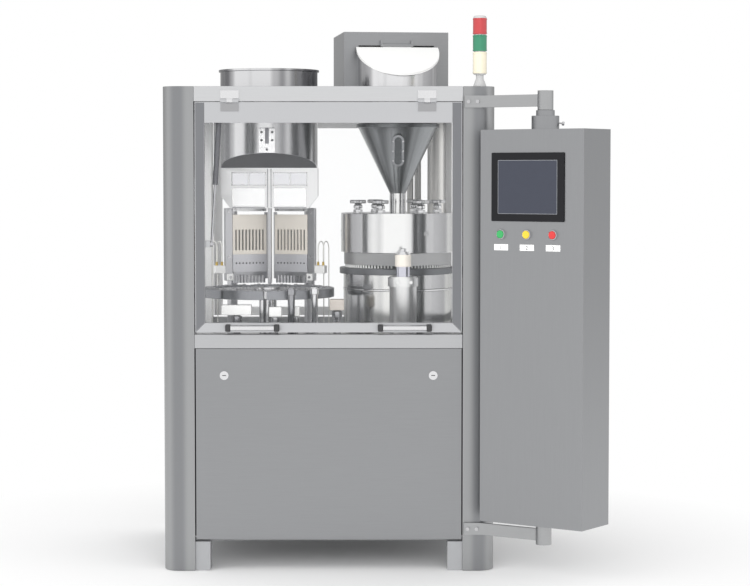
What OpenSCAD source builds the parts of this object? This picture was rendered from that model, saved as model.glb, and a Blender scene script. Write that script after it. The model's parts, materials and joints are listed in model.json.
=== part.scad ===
// Capsule filler: a floor-standing machine with a capsule hopper, a turret, a dosing unit and a control box.
// Millimetres, +Z up, the front looks along -Y, the origin is the middle of the footprint on the floor.

/* [Frame] */
// Width over the corner pillars
machine_w = 1200; // [1160:5:1260]
// Depth over the corner pillars
machine_d = 1000; // [970:5:1060]
// Height of the top of the frame
frame_top = 1755; // [1745:1:1790]
// Width and depth of a corner pillar
pillar_w = 115; // [105:1:120]
// Radius of a pillar's outer corner
pillar_r = 60; // [20:1:80]
// Sheet thickness of pillars, panels and boxes
sheet = 3; // [2:0.5:4]
// Depth of the rails between the pillars
rail_d = 40; // [30:1:44]
// Height of the header rails
header_h = 55; // [45:1:60]
// Height of the top of the lower bands
band_top = 861; // [855:1:870]
// Height of the lower bands
band_h = 51; // [44:1:60]
// Drop of the deck below the top of the bands
deck_drop = 21; // [15:1:25]
// Thickness of the deck plate
deck_t = 20; // [12:1:22]
// Thickness of the roof panel
roof_t = 5; // [3:0.5:8]
// Height of the feet
foot_h = 105; // [95:1:106]
// Width of a foot
foot_w = 54; // [46:1:70]
// Depth of a foot
foot_d = 90; // [80:1:100]
// Thickness of the base plate
base_t = 20; // [12:1:25]
// Radius of a floor bolt hole
floor_bolt_r = 8; // [5:0.5:10]

/* [Windows and panels] */
// Gap between a window or panel and the pillars
side_gap = 4; // [2:0.5:8]
// Gap between the windows and the header
top_gap = 2; // [1:0.5:4]
// Gap between the windows and the bands
bottom_gap = 7; // [3:0.5:10]
// Setback of windows and panels from the front of the pillars
setback = 2; // [0:0.5:4]
// Thickness of a window frame
window_t = 30; // [24:1:32]
// Height of a window's top rail
top_rail_h = 74; // [60:1:90]
// Width of a window's stiles and bottom rail
stile_w = 34; // [26:1:38]
// Thickness of a pane
pane_t = 6; // [4:0.5:10]
// Distance of a hinge from the middle of its window
hinge_x = 355; // [250:1:360]
// Distance of a side window's hinge from its middle
side_hinge_x = 250; // [150:1:300]
// Length of a hinge
hinge_len = 66; // [50:1:80]
// Height of a hinge leaf
leaf_h = 38; // [30:1:45]
// Thickness of a hinge leaf
leaf_t = 5; // [3:0.5:6]
// Radius of a hinge pin
hinge_pin_r = 4; // [2.5:0.25:5]
// Radius of a hinge knuckle
knuckle_r = 7.5; // [6.5:0.25:7.5]
// Distance of the hinge axis in front of the pillars
hinge_out = 8; // [8:0.5:10]
// Distance of a handle from the middle of the window
handle_x = 275; // [180:1:320]
// Length of a handle
handle_len = 195; // [150:1:230]
// Radius of a handle tube
handle_r = 10; // [7:0.5:11]
// Distance of a handle tube in front of the window
handle_out = 24; // [18:1:40]
// Width of a handle's end block
handle_block_w = 20; // [14:1:30]
// Height of a handle's end block
handle_block_h = 26; // [23:1:32]
// Thickness of the lower panels
panel_t = 28; // [20:1:30]
// Gap between the lower panels and the bands
panel_top_gap = 1; // [0.5:0.5:4]
// Gap between the lower panels and the feet
panel_foot_gap = 10; // [8:1:16]
// Radius of the pins that the front panel tilts on
panel_pin_r = 5; // [3:0.5:6]
// Length of the pins that the front panel tilts on
panel_pin_len = 16; // [10:1:24]
// Distance of a lock from the middle of the panel
lock_x = 378; // [300:1:420]
// Distance of a lock below the top of the panel
lock_drop = 97; // [60:1:140]
// Radius of a lock barrel
lock_r = 11; // [8:0.5:14]
// Radius of a lock's head
lock_head_r = 16; // [15:0.5:20]
// Length of a lock's tongue
lock_tongue = 45; // [30:1:60]

/* [Gas strut] */
// Place of the strut's lower end across the machine
strut_x = -425; // [-430:1:-400]
// Sideways lean of the strut at its upper end
strut_lean_x = 30; // [0:1:40]
// Distance of the strut behind the window
strut_back = 23; // [20:1:30]
// Height of the strut's lower end
strut_low_z = 1186; // [1150:1:1230]
// Distance of the strut's upper end below the header
strut_drop = 32; // [30:1:40]
// Radius of the strut tube
strut_tube_r = 10; // [8:0.5:12]
// Radius of the strut rod
strut_rod_r = 5; // [3:0.5:6]
// Length of the strut tube
strut_tube_len = 268; // [240:1:300]
// Length of the strut rod
strut_rod_len = 345; // [340:1:370]
// Radius of the wide eye at the strut's upper end
strut_eye_r = 18; // [17:0.5:20]

/* [Capsule hopper] */
// Place of the hopper and the turret across the machine
feed_x = -235; // [-250:1:-225]
// Place of the hopper's axis along the machine
hopper_y = -10; // [-30:1:10]
// Radius of the hopper
hopper_r = 185; // [170:1:195]
// Rise of the hopper above the frame
hopper_rise = 79; // [50:1:120]
// Height of the hopper's lower end
hopper_low_z = 1463; // [1460:1:1475]
// Rise of the inclined floor towards the front
floor_rise = 56; // [30:1:80]
// Distance from the hopper's axis back to the feed box
feed_front = 5; // [0:1:10]
// Depth of the feed box
feed_d = 145; // [140:1:155]
// Height of the feed box
feed_h = 155; // [145:1:156]
// Height of the feed box's tapered end
feed_taper_h = 47; // [40:1:55]
// Width of the feed box at its lower end
feed_low_w = 300; // [290:1:330]
// Wall of the hopper and the feed box
feed_wall = 4; // [3:0.5:6]
// Width of a feed window
feed_window_w = 125; // [100:1:130]
// Height of a feed window
feed_window_h = 45; // [35:1:48]
// Width of the slotted plate on the hopper
slot_plate_w = 60; // [50:1:90]
// Height of the slotted plate on the hopper
slot_plate_h = 90; // [80:1:110]
// Thickness of the plates on the hopper and the feed box
feed_plate_t = 5; // [3:0.5:8]

/* [Magazines] */
// Number of stations on the turret
stations = 9; // [9:1:9]
// Radius of the circle that the magazines stand on
magazine_ring_r = 243; // [240:1:246]
// Width of a magazine
magazine_w = 136; // [120:1:138]
// Thickness of a magazine plate
magazine_t = 20; // [16:1:24]
// Height of the comb
comb_h = 43; // [36:1:44]
// Height of a magazine block
block_h = 68; // [60:1:70]
// Height of a magazine plate
plate_h = 153; // [140:1:154]
// Number of capsule channels in a magazine
channels = 9; // [5:1:11]
// Radius of a magazine block's holes
channel_r = 3.5; // [2:0.25:4.5]
// Height of a magazine plate's slots
slot_h = 80; // [60:1:95]
// Width of a magazine's side post
side_post_w = 30; // [24:1:32]
// Width of the divider between the magazines
divider_w = 13; // [8:1:16]
// Width of a sensor block
sensor_w = 42; // [36:1:44]
// Height of a sensor block
sensor_h = 30; // [20:1:36]
// Radius of an air fitting
fitting_r = 5; // [4:0.5:7]
// Height of an air fitting
fitting_h = 14; // [8:1:20]
// Radius of an air tube
air_tube_r = 2; // [1.5:0.25:3]
// Radius of an air tube's bend
air_bend_r = 30; // [26:1:34]
// Straight rise of an air tube above its fitting
air_rise = 48; // [30:1:80]

/* [Turret] */
// Place of the turret's axis along the machine
turret_y = -150; // [-155:1:-145]
// Outer radius of the turret
turret_r = 250; // [246:1:256]
// Radial depth of the turret's segments
segment_d = 50; // [40:1:60]
// Height of the turret above the deck
turret_top_h = 172; // [166:1:173]
// Thickness of the turret
turret_t = 33; // [25:1:38]
// Angle left open between segments
segment_gap = 3; // [2:0.5:6]
// Gap between the turret and the comb
comb_gap = 7; // [5:0.5:12]
// Radius of the turret and dosing shafts
shaft_r = 25; // [20:0.5:26]
// Radius of the turret's column
column_r = 33; // [30:0.5:40]

/* [Dosing unit] */
// Place of the dosing axis across the machine
dosing_x = 256; // [252:1:262]
// Place of the dosing axis along the machine
dosing_y = -20; // [-25:1:-10]
// Radius of the bowl
bowl_r = 207; // [195:1:212]
// Height of the bowl
bowl_h = 222; // [212:1:228]
// Radius of the dosing disc
disc_r = 222; // [215:1:228]
// Thickness of the dosing disc
disc_t = 23; // [15:1:28]
// Gap between the dosing disc and the tamping plate
tamping_gap = 13; // [10:1:20]
// Thickness of the tamping plate
tamping_t = 45; // [38:1:50]
// Radius of the tamping plate
tamping_r = 205; // [190:1:216]
// Radius of the tamping head
head_r = 216; // [205:1:222]
// Height of the tamping head
head_h = 149; // [140:1:160]
// Radius of the opening down the middle of the tamping head
head_bore_r = 34; // [33.5:0.25:40]
// Number of tamping stations and knobs
knobs = 6; // [6:1:6]
// Radius of the circle of knobs
knob_ring_r = 152; // [140:1:165]
// Turn of the circle of knobs
knob_turn = 4; // [0:0.5:8]
// Radius of a knob
knob_r = 31; // [24:0.5:34]
// Thickness of a knob
knob_t = 13; // [10:0.5:16]
// Height of a knob's stem above the tamping head
knob_rise = 36; // [30:1:50]
// Radius of a knob's stem
stem_r = 8; // [5:0.5:10]
// Depth of a knob's stem in the tamping head
stem_depth = 30; // [20:1:40]
// Radius of a tamping pin
pin_r = 6; // [4:0.5:8]
// Distance of a guide post from the dosing axis
post_reach = 302; // [296:1:308]
// Angle of the guide posts from straight ahead
post_angle = 3; // [0:0.5:5]
// Radius of a guide post's tube
post_r = 50; // [45:0.5:52]
// Radius of a guide rod
rod_r = 26; // [20:0.5:28]
// Radius of a guide rod's bush
bush_r = 30; // [29:0.5:34]
// Radius of the nut on a guide rod
rod_nut_r = 20; // [14:0.5:24]
// Height of the nut on a guide rod
rod_nut_h = 23; // [15:1:30]
// Height of a guide post's clamp
clamp_h = 32; // [24:1:40]

/* [Powder hopper] */
// Radius of the powder hopper
powder_r = 150; // [140:1:156]
// Wall of the powder hopper
powder_wall = 3; // [2:0.5:4]
// Radius of the neck
neck_r = 30.5; // [28:0.5:31.5]
// Height of the neck's upper end above the tamping head
neck_rise = 75; // [70:1:90]
// Height of the cone from the neck to its upper end
cone_h = 262; // [250:1:275]
// Height of the low front edge of the mouth above the frame
mouth_rise = 57; // [45:1:60]
// Slope of the mouth
mouth_slope = 31; // [28:1:34]
// Width of the sight window
sight_w = 46; // [36:1:60]
// Height of the sight window
sight_h = 132; // [110:1:150]
// Thickness of the sight window
sight_t = 8; // [5:0.5:12]
// Width of the hood
hood_w = 402; // [390:1:410]
// Depth of the hood
hood_d = 375; // [360:1:380]
// Height of the hood
hood_h = 226; // [215:1:240]
// Turn of the hood about the powder hopper
hood_turn = 7; // [0:0.5:9]
// Distance of the hood's front behind the hopper's axis
hood_back = 40; // [36:1:50]
// Thickness of the loading cover
cover_t = 8; // [5:0.5:10]
// Radius of the agitator shaft
agitator_r = 8; // [6:0.5:10]
// Height of an agitator paddle
paddle_h = 24; // [18:1:30]
// Thickness of an agitator paddle
paddle_t = 6; // [4:0.5:8]
// Share of the cone's radius that a paddle reaches
paddle_reach = 0.65; // [0.5:0.05:0.8]

/* [Signal tower] */
// Radius of the lamps
lamp_r = 26; // [20:0.5:28]
// Height of the tower's base and neck
tower_base_h = 48; // [40:1:60]
// Height of the lowest lamp
lamp_low_h = 78; // [60:1:80]
// Height of the two upper lamps
lamp_h = 58; // [50:1:70]
// Gap between lamps
lamp_gap = 3; // [2:0.5:5]
// Height of the tower's cap
cap_h = 9; // [6:0.5:12]

/* [Control box] */
// Place of the swivel axis across the machine
swivel_x = 769; // [765:1:800]
// Place of the swivel axis along the machine
swivel_y = -640; // [-660:1:-638]
// Turn of the control box at rest
box_turn = -35; // [-40:1:-25]
// Width of the control box
box_w = 420; // [400:1:424]
// Depth of the control box
box_d = 190; // [170:1:195]
// Height of the control box's lower end
box_low = 198; // [195:1:220]
// Height of the control box
box_h = 1399; // [1380:1:1400]
// Radius of the collar on the control box
collar_r = 49; // [40:0.5:55]
// Height of the collar on the control box
collar_h = 48; // [40:1:52]
// Radius of a swivel boss
boss_r = 28; // [26:0.5:34]
// Height of a swivel boss
boss_h = 69; // [55:1:72]
// Radius of the spindle in a boss
spindle_r = 20; // [15:0.5:22]
// Height of an arm
arm_h = 43; // [35:1:50]
// Thickness of an arm
arm_t = 14; // [10:1:18]
// Width of the screen
screen_w = 296; // [270:1:310]
// Height of the screen
screen_h = 242; // [220:1:260]
// Thickness of the screen
screen_t = 6; // [4:0.5:10]
// Distance of the screen below the top of the box
screen_drop = 82; // [60:1:110]
// Distance of the buttons below the screen
button_drop = 46; // [32:1:60]
// Distance between buttons
button_pitch = 106; // [80:1:120]
// Radius of a button
button_r = 14; // [10:0.5:18]
// Travel of a button
button_travel = 4; // [3:0.5:5]
// Wall of a button's bezel
bezel_wall = 4; // [3:0.5:6]

/* [Drive] */
// Width of an index box
index_w = 220; // [190:1:230]
// Height of an index box
index_h = 170; // [150:1:190]
// Radius of the camshaft
camshaft_r = 20; // [15:0.5:24]
// Height of the camshaft
camshaft_z = 380; // [370:1:400]
// Place of the camshaft along the machine
camshaft_y = 200; // [190:1:210]
// Radius of a cam
cam_r = 62; // [50:1:70]
// Width of the gearbox
gearbox_w = 160; // [140:1:170]
// Radius of the motor
motor_r = 75; // [65:1:78]
// Length of the motor
motor_len = 260; // [220:1:280]

/* [Clearances] */
// Clearance round a shaft that turns or slides in a hole
run_gap = 0.05; // [0.02:0.01:0.1]
// Gap between faces that pass each other
pass_gap = 0.3; // [0.2:0.05:0.5]

/* [Hidden] */
$fn = 64;
half_w = machine_w / 2;
half_d = machine_d / 2;
front_y = -half_d;
pillar_x = half_w - pillar_w;
pillar_y = half_d - pillar_w;
rail_x = half_w - rail_d;
rail_y = half_d - rail_d;
header_low = frame_top - header_h;
band_low = band_top - band_h;
deck_top = band_top - deck_drop;
deck_low = deck_top - deck_t;
roof_low = frame_top - roof_t;
base_top = foot_h + base_t;
foot_in = 10;
foot_y = half_d - foot_d / 2 - foot_in;
foot_x = pillar_x - foot_w / 2;

window_low = band_top + bottom_gap;
window_top = header_low - top_gap;
window_h = window_top - window_low;
window_y = front_y + setback;
window_back = window_y + window_t;
front_window_w = 2 * (pillar_x - side_gap);
side_window_w = 2 * (pillar_y - side_gap);
hinge_y = front_y - hinge_out;
hinge_z = header_low + top_gap;
knuckle_half = hinge_len / 6;

panel_low = foot_h + panel_foot_gap;
panel_top = band_low - panel_top_gap;
panel_h = panel_top - panel_low;
panel_y = front_y + setback;
panel_pivot_y = panel_y + panel_pin_r + sheet;
panel_pivot_z = panel_low + 2 * panel_pin_r;
pin_block = 30;
lock_z = panel_top - lock_drop;
lock_inner = 18;
lock_tongue_t = 6;
lock_tongue_w = 18;
lock_head_t = 5;

strut_y = window_back + strut_back;
strut_top_z = header_low - strut_drop;
strut_rise = strut_top_z - strut_low_z;
strut_tilt = atan2(strut_lean_x, strut_rise);
strut_len = norm([strut_lean_x, strut_rise]);
strut_eye_w = 10;
strut_stud_r = 4;
strut_top_stud_r = 2.5;
strut_eye_hole = strut_eye_r - 4;
strut_foot_r = 9;
strut_bore_end = 25;
lug_t = 6;
lug_half = 10;
lug_h = 30;
strut_pad = 12;
strut_pad_h = 40;

hopper_top = frame_top + hopper_rise;
hopper_lip = 6;
hopper_lip_h = 8;
hopper_collar = 20;
roof_hole_gap = 1;
feed_y = hopper_y + feed_front;
floor_slope = atan2(floor_rise, hopper_r + feed_front);
floor_t = 6;
feed_low = hopper_low_z - feed_h;
feed_w = 2 * hopper_r;
feed_window_x = feed_low_w / 4 + feed_wall;
feed_window_drop = 20;
feed_window_z = hopper_low_z - feed_window_drop - feed_window_h / 2;
feed_plate_low = feed_low + 8;
feed_plate_h = 70;
top_bar_h = 12;
slot_plate_z = header_low - slot_plate_h;
plate_screw_r = 4;
plate_slot_w = 14;

turret_top = deck_top + turret_top_h;
turret_low = turret_top - turret_t;
disc_in_r = turret_r - segment_d;
station_step = 360 / stations;
post_collar = 5;
post_collar_h = 22;
post_collar_drop = 4;
magazine_turn = station_step / 2;
comb_low = turret_top + comb_gap;
block_low = comb_low + comb_h;
plate_low = block_low + block_h;
channel_pitch = magazine_w / (channels + 1);
slot_w = channel_pitch / 2;
comb_ribs = channels + 1;
comb_play = 10;
comb_w = magazine_w - comb_play;
comb_bar_h = comb_h / 3;
side_post_gap = 10;
side_post_low = comb_low + side_post_gap;
sensor_drop = 4;
sensor_low = block_low - sensor_drop;
sensor_d = 30;
divider_d = 80;
support_r = 20;
support_x = 150;
support_y = feed_y + feed_d - support_r;

// Station posts: place from the turret's axis, height above the deck, radius
station_places = [[-105, -215, 83, 14], [38, -224, 77, 10], [112, -205, 77, 8], [97, -254, 184, 13],
    [180, -204, 184, 13], [262, -122, 95, 14]];
// Station blocks: which post, width, depth and height
station_block_sizes = [[0, 110, 50, 37], [1, 46, 34, 36], [2, 28, 30, 36], [5, 54, 60, 40]];

disc_low = deck_top + bowl_h + pass_gap;
disc_top = disc_low + disc_t;
plate_z = disc_top + tamping_gap;
head_low = plate_z + tamping_t;
head_top = head_low + head_h;
knob_z = head_top + knob_rise;
rod_foot = 40;
rod_low = deck_top + rod_foot;
clamp_drop = 4;
clamp_wall = 6;
post_top = disc_low;
groove_w = 8;
groove_d = 4;
groove_drop = 62;
groove_z = deck_top + bowl_h - groove_drop;
pin_gap = 1;
pin_set = [-1, 0, 1];
pin_pitch = 22;

neck_gap = 10;
neck_low = disc_top + neck_gap;
neck_top = head_top + neck_rise;
cone_top = neck_top + cone_h;
cone_lip = 8;
cone_lip_h = 14;
cone_end = cone_top - cone_lip_h;
cone_slope = atan2(powder_r - neck_r, cone_end - neck_top);
sight_z = neck_top + 0.59 * (cone_end - neck_top);
sight_y = neck_r + (sight_z - neck_top) * tan(cone_slope);
mouth_front_z = frame_top + mouth_rise;
cylinder_drop = 25;
cylinder_top = frame_top + hood_h - cylinder_drop;
bridge_rise = 36;
bridge_z = cone_top + bridge_rise;
bridge_w = 30;
bridge_t = 20;
agitator_collar_h = 12;
paddle_z = [neck_top + cone_h / 4, neck_top + 2 * cone_h / 3];
powder_collar = 15;
powder_collar_h = 6;
hood_top = frame_top + hood_h;
cover_hinge_gap = 14;
cover_axis_y = hood_back - cover_hinge_gap;
cover_axis_z = mouth_front_z + (powder_r + cover_axis_y) * tan(mouth_slope) + cover_t + 3;
cover_edge_y = cover_axis_y - 8;
cover_pin_r = 4;
cover_knuckle_r = 7;
cover_half = 55;
cover_lug = 8;
cover_lug_h = 20;
hood_notch_top = mouth_front_z + (powder_r + hood_back + sheet) * tan(mouth_slope) + 2;
cover_lip = 8;
cover_web = 24;
cover_web_t = 4;

// Rear pipes: place across from the dosing axis, place along the machine, radius
rear_pipe_places = [[160, 330, 37], [85, 345, 13], [55, 360, 13]];

tower_in = 52;
tower_back = 80;
tower_x = half_w - tower_in;
tower_y = front_y + tower_back;
lamp_z = frame_top + tower_base_h;
lamp_tops = [lamp_z + lamp_low_h, lamp_z + lamp_low_h + lamp_gap + lamp_h,
    lamp_z + lamp_low_h + 2 * (lamp_gap + lamp_h)];

box_top = box_low + box_h;
boss_gap = 20;
low_boss_gap = 9;
top_boss_z = box_top + collar_h + boss_gap;
low_boss_z = box_low - boss_h - low_boss_gap;
spindle_collar = 5;
arm_plate_w = 70;
arm_plate_t = 12;
arm_plate_in = 5;
arm_root_x = pillar_x + arm_plate_in + arm_plate_w;
arm_run = [swivel_x - arm_root_x, swivel_y - (front_y - arm_plate_t / 2)];
screen_z = box_top - screen_drop - screen_h;
button_z = screen_z - button_drop;
screen_shift = -14;
button_shift = -17;
button_x = [for (i = [-1:1]) i * button_pitch + button_shift];
bezel_h = button_travel + 3;
weld = sheet / 2;
button_stem_r = 5;

index_low = deck_low - index_h;
shaft_low = index_low + 20;
drive_inset = 100;
camshaft_left = drive_inset - rail_x;
gearbox_x = camshaft_left;
camshaft_right = rail_x - drive_inset;
bearing_w = 30;
cam_w = 25;
cam_throw = 15;
cam_pitch = 140;
cam_x = [for (i = [-1:2]) (i + 0.15) * cam_pitch];

// A box between two corners
module block(low, high) {
    translate(low) cube(high - low);
}

// A cylinder along X from one place to another
module bar_x(x0, x1, r) {
    translate([x0, 0, 0]) rotate([0, 90, 0]) cylinder(r = r, h = x1 - x0);
}

// A cylinder along Y from one place to another
module bar_y(y0, y1, r) {
    translate([0, y0, 0]) rotate([-90, 0, 0]) cylinder(r = r, h = y1 - y0);
}

// A tube along Z between two heights
module tube_z(z0, z1, r, bore) {
    translate([0, 0, z0]) difference() {
        cylinder(r = r, h = z1 - z0);
        translate([0, 0, -1]) cylinder(r = bore, h = z1 - z0 + 2);
    }
}

// A bar between two heights
module rod_z(z0, z1, r) {
    translate([0, 0, z0]) cylinder(r = r, h = z1 - z0);
}

// Both sides of the machine
module left_and_right() {
    for (side = [-1, 1]) mirror([side < 0 ? 1 : 0, 0, 0]) children();
}

// Front and rear of the machine
module front_and_rear() {
    for (end = [-1, 1]) mirror([0, end < 0 ? 0 : 1, 0]) children();
}

// A plate that fills the frame between the rails and round the pillars
module frame_plate(z0, z1) {
    difference() {
        block([-rail_x, -rail_y, z0], [rail_x, rail_y, z1]);
        left_and_right() front_and_rear()
            block([pillar_x, -half_d, z0 - 1], [half_w, -pillar_y, z1 + 1]);
    }
}

// Square post with one round corner, from the origin towards +X and +Y
module round_post(w, r, h) {
    cube([w, w - r, h]);
    cube([w - r, w, h]);
    intersection() {
        cube([w, w, h]);
        translate([w - r, w - r, 0]) cylinder(r = r, h = h);
    }
}

// Shallow sheet tray standing in XZ, open at its back, its lower left front corner at the origin
module tray(w, h, t) {
    difference() {
        cube([w, t, h]);
        translate([sheet, sheet, sheet]) cube([w - 2 * sheet, t, h - 2 * sheet]);
    }
}

// Window frame standing in XZ, its lower left front corner at the origin
module window_frame(w) {
    difference() {
        cube([w, window_t, window_h]);
        translate([stile_w, -1, stile_w])
            cube([w - 2 * stile_w, window_t + 2, window_h - stile_w - top_rail_h]);
    }
}

// Pane that fills a window frame
module window_pane(w) {
    translate([stile_w, (window_t - pane_t) / 2, stile_w])
        cube([w - 2 * stile_w, pane_t, window_h - stile_w - top_rail_h]);
}

// Fixed half of a hinge: leaf, middle knuckle and pin, with the pin's axis along X at the origin
module hinge_fixed() {
    block([-hinge_len / 2, hinge_out - leaf_t, knuckle_r + 1], [hinge_len / 2, hinge_out, leaf_h]);
    block([-knuckle_half, 0, 0], [knuckle_half, hinge_out, knuckle_r + 1]);
    bar_x(-knuckle_half, knuckle_half, knuckle_r);
    bar_x(-hinge_len / 2, hinge_len / 2, hinge_pin_r);
}

// Moving half of a hinge: leaf and two outer knuckles
module hinge_moving() {
    face = hinge_out + setback;
    difference() {
        union() {
            block([-hinge_len / 2, face - leaf_t, -leaf_h], [hinge_len / 2, face, -knuckle_r - 1]);
            left_and_right() {
                bar_x(knuckle_half + pass_gap, hinge_len / 2, knuckle_r);
                block([knuckle_half + pass_gap, 0, -knuckle_r - 1], [hinge_len / 2, face, -top_gap - 1]);
            }
        }
        bar_x(-hinge_len, hinge_len, hinge_pin_r + run_gap);
    }
}

// Places of a side window's parts, seen from outside with the face towards -Y
module at_side(side) {
    rotate([0, 0, side * 90]) translate([0, half_d - half_w, 0]) children();
}

// Places of the rear window's parts, seen from behind with the face towards -Y
module at_rear() {
    rotate([0, 0, 180]) children();
}

// Base plate with the four feet
module base_frame() {
    color("dimgray") difference() {
        union() {
            frame_plate(foot_h, base_top);
            left_and_right() front_and_rear()
                block([foot_x - foot_w / 2, -foot_y - foot_d / 2, 0],
                    [foot_x + foot_w / 2, -foot_y + foot_d / 2, foot_h]);
        }
        left_and_right() front_and_rear()
            translate([foot_x, -foot_y, -1]) cylinder(r = floor_bolt_r, h = base_top + 2);
    }
}

// Four hollow corner pillars, the front two with the front panel's pins
module corner_pillars() {
    color("darkgray") {
        left_and_right() front_and_rear()
            translate([pillar_x, -pillar_y, 0]) mirror([0, 1, 0]) difference() {
                round_post(pillar_w, pillar_r, frame_top);
                translate([sheet, sheet, -1])
                    round_post(pillar_w - 2 * sheet, pillar_r - sheet, frame_top - sheet + 1);
            }
        left_and_right() translate([0, panel_pivot_y, panel_pivot_z])
            bar_x(pillar_x - panel_pin_len, pillar_x, panel_pin_r);
    }
}

// Header rails and lower bands between the pillars
module frame_rails() {
    color("gainsboro") for (z = [[header_low, frame_top], [band_low, band_top]]) {
        front_and_rear() block([-pillar_x, -half_d, z[0]], [pillar_x, -rail_y, z[1]]);
        left_and_right() block([rail_x, -pillar_y, z[0]], [half_w, pillar_y, z[1]]);
    }
}

// Roof with the openings for both hoppers
module roof_panel() {
    color("silver") difference() {
        frame_plate(roof_low, frame_top);
        translate([feed_x, hopper_y, roof_low - 1]) cylinder(r = hopper_r + roof_hole_gap, h = roof_t + 2);
        translate([dosing_x, dosing_y, roof_low - 1]) cylinder(r = powder_r + roof_hole_gap, h = roof_t + 2);
    }
}

// Work deck with the openings for the two shafts
module deck_plate() {
    color("silver") difference() {
        frame_plate(deck_low, deck_top);
        translate([feed_x, turret_y, deck_low - 1]) cylinder(r = shaft_r + roof_hole_gap, h = deck_t + 2);
        translate([dosing_x, dosing_y, deck_low - 1]) cylinder(r = shaft_r + roof_hole_gap, h = deck_t + 2);
    }
}

// Fixed sheet panels below the deck: both sides and the back
module fixed_panels() {
    color("darkgray") {
        for (side = [-1, 1]) at_side(side)
            translate([-pillar_y, panel_y, panel_low]) tray(2 * pillar_y, panel_h, panel_t);
        at_rear() translate([-pillar_x, panel_y, panel_low]) tray(2 * pillar_x, panel_h, panel_t);
    }
}

// Fixed hinge halves for all the windows, and the stud for the gas strut
module window_hinges() {
    color("silver") {
        for (end = [-1, 1]) {
            translate([end * hinge_x, hinge_y, hinge_z]) hinge_fixed();
            at_rear() translate([end * hinge_x, hinge_y, hinge_z]) hinge_fixed();
            for (side = [-1, 1]) at_side(side)
                translate([end * side_hinge_x, hinge_y, hinge_z]) hinge_fixed();
        }
        strut_top_bracket();
    }
}

// Bracket behind the header with the stud that the strut's wide eye hangs round
module strut_top_bracket() {
    eye_x = strut_x + strut_lean_x;
    inner = eye_x - strut_tube_r - 2;
    block([inner - lug_t, -rail_y, header_low], [inner, strut_y + lug_half, header_low + lug_h]);
    block([inner - lug_t, strut_y - lug_half, strut_top_z - lug_half],
        [inner, strut_y + lug_half, header_low + lug_h]);
    translate([0, strut_y, strut_top_z]) bar_x(inner - lug_t / 2, eye_x + strut_eye_w / 2, strut_top_stud_r);
}

// Steel frame of the front window with its hinge halves and the stud for the gas strut
module front_window_frame() {
    color("silver") {
        translate([-front_window_w / 2, window_y, window_low]) window_frame(front_window_w);
        left_and_right() translate([hinge_x, hinge_y, hinge_z]) hinge_moving();
        strut_low_bracket();
    }
}

// Strip on the stile with the stud that the strut's rod turns on
module strut_low_bracket() {
    inner = strut_x - strut_eye_w / 2 - pass_gap;
    stile = -front_window_w / 2 + stile_w;
    plate = stile - strut_stud_r;
    block([plate - 8, window_back, strut_low_z - strut_pad_h / 2],
        [plate, strut_y + strut_pad, strut_low_z + strut_pad_h / 2]);
    block([plate, strut_y - strut_pad, strut_low_z - strut_pad],
        [inner, strut_y + strut_pad, strut_low_z + strut_pad]);
    translate([0, strut_y, strut_low_z])
        bar_x(inner - lug_t / 2, strut_x + strut_eye_w / 2 + 2, strut_stud_r);
}

// Clear pane of the front window
module front_window_pane() {
    color("lightblue", 0.4)
        translate([-front_window_w / 2, window_y, window_low]) window_pane(front_window_w);
}

// Two tube handles on the front window's bottom rail
module window_handles() {
    color("lightgray") left_and_right()
        translate([handle_x, window_y, window_low + stile_w / 2]) {
            for (end = [-1, 1]) translate([end * (handle_len - handle_block_w) / 2, 0, 0])
                block([-handle_block_w / 2, -handle_out - handle_r - 1, -handle_block_h / 2],
                    [handle_block_w / 2, 0, handle_block_h / 2]);
            translate([0, -handle_out, 0]) bar_x(-handle_len / 2, handle_len / 2, handle_r);
        }
}

// Frame of the gas strut: its lower end at the origin, its length along Z
module at_strut() {
    translate([strut_x, strut_y, strut_low_z]) rotate([0, strut_tilt, 0]) children();
}

// Gas strut's rod with its lower eye
module strut_rod() {
    color("gainsboro") difference() {
        union() {
            translate([strut_x, strut_y, strut_low_z])
                bar_x(-strut_eye_w / 2, strut_eye_w / 2, strut_foot_r);
            at_strut() rod_z(strut_foot_r / 2, strut_rod_len, strut_rod_r);
        }
        translate([strut_x, strut_y, strut_low_z])
            bar_x(-strut_eye_w, strut_eye_w, strut_stud_r + run_gap);
    }
}

// Gas strut's tube with its wide upper eye
module strut_tube() {
    color("dimgray") difference() {
        union() {
            at_strut() rod_z(strut_len - strut_tube_len, strut_len - strut_eye_r + 2, strut_tube_r);
            translate([strut_x + strut_lean_x, strut_y, strut_top_z])
                bar_x(-strut_eye_w / 2, strut_eye_w / 2, strut_eye_r);
        }
        at_strut() rod_z(strut_len - strut_tube_len - 1, strut_len - strut_bore_end - strut_eye_r,
            strut_rod_r + run_gap);
        translate([strut_x + strut_lean_x, strut_y, strut_top_z])
            bar_x(-strut_eye_w, strut_eye_w, strut_eye_hole);
    }
}

// Hinged window of a side or the back: frame, pane and moving hinge halves
module hinged_window(w, hinge_at) {
    translate([-w / 2, window_y, window_low]) {
        window_frame(w);
        window_pane(w);
    }
    for (end = [-1, 1]) translate([end * hinge_at, hinge_y, hinge_z]) hinge_moving();
}
module left_window() { color("silver") at_side(-1) hinged_window(side_window_w, side_hinge_x); }
module right_window() { color("silver") at_side(1) hinged_window(side_window_w, side_hinge_x); }
module rear_window() { color("silver") at_rear() hinged_window(front_window_w, hinge_x); }

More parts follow.
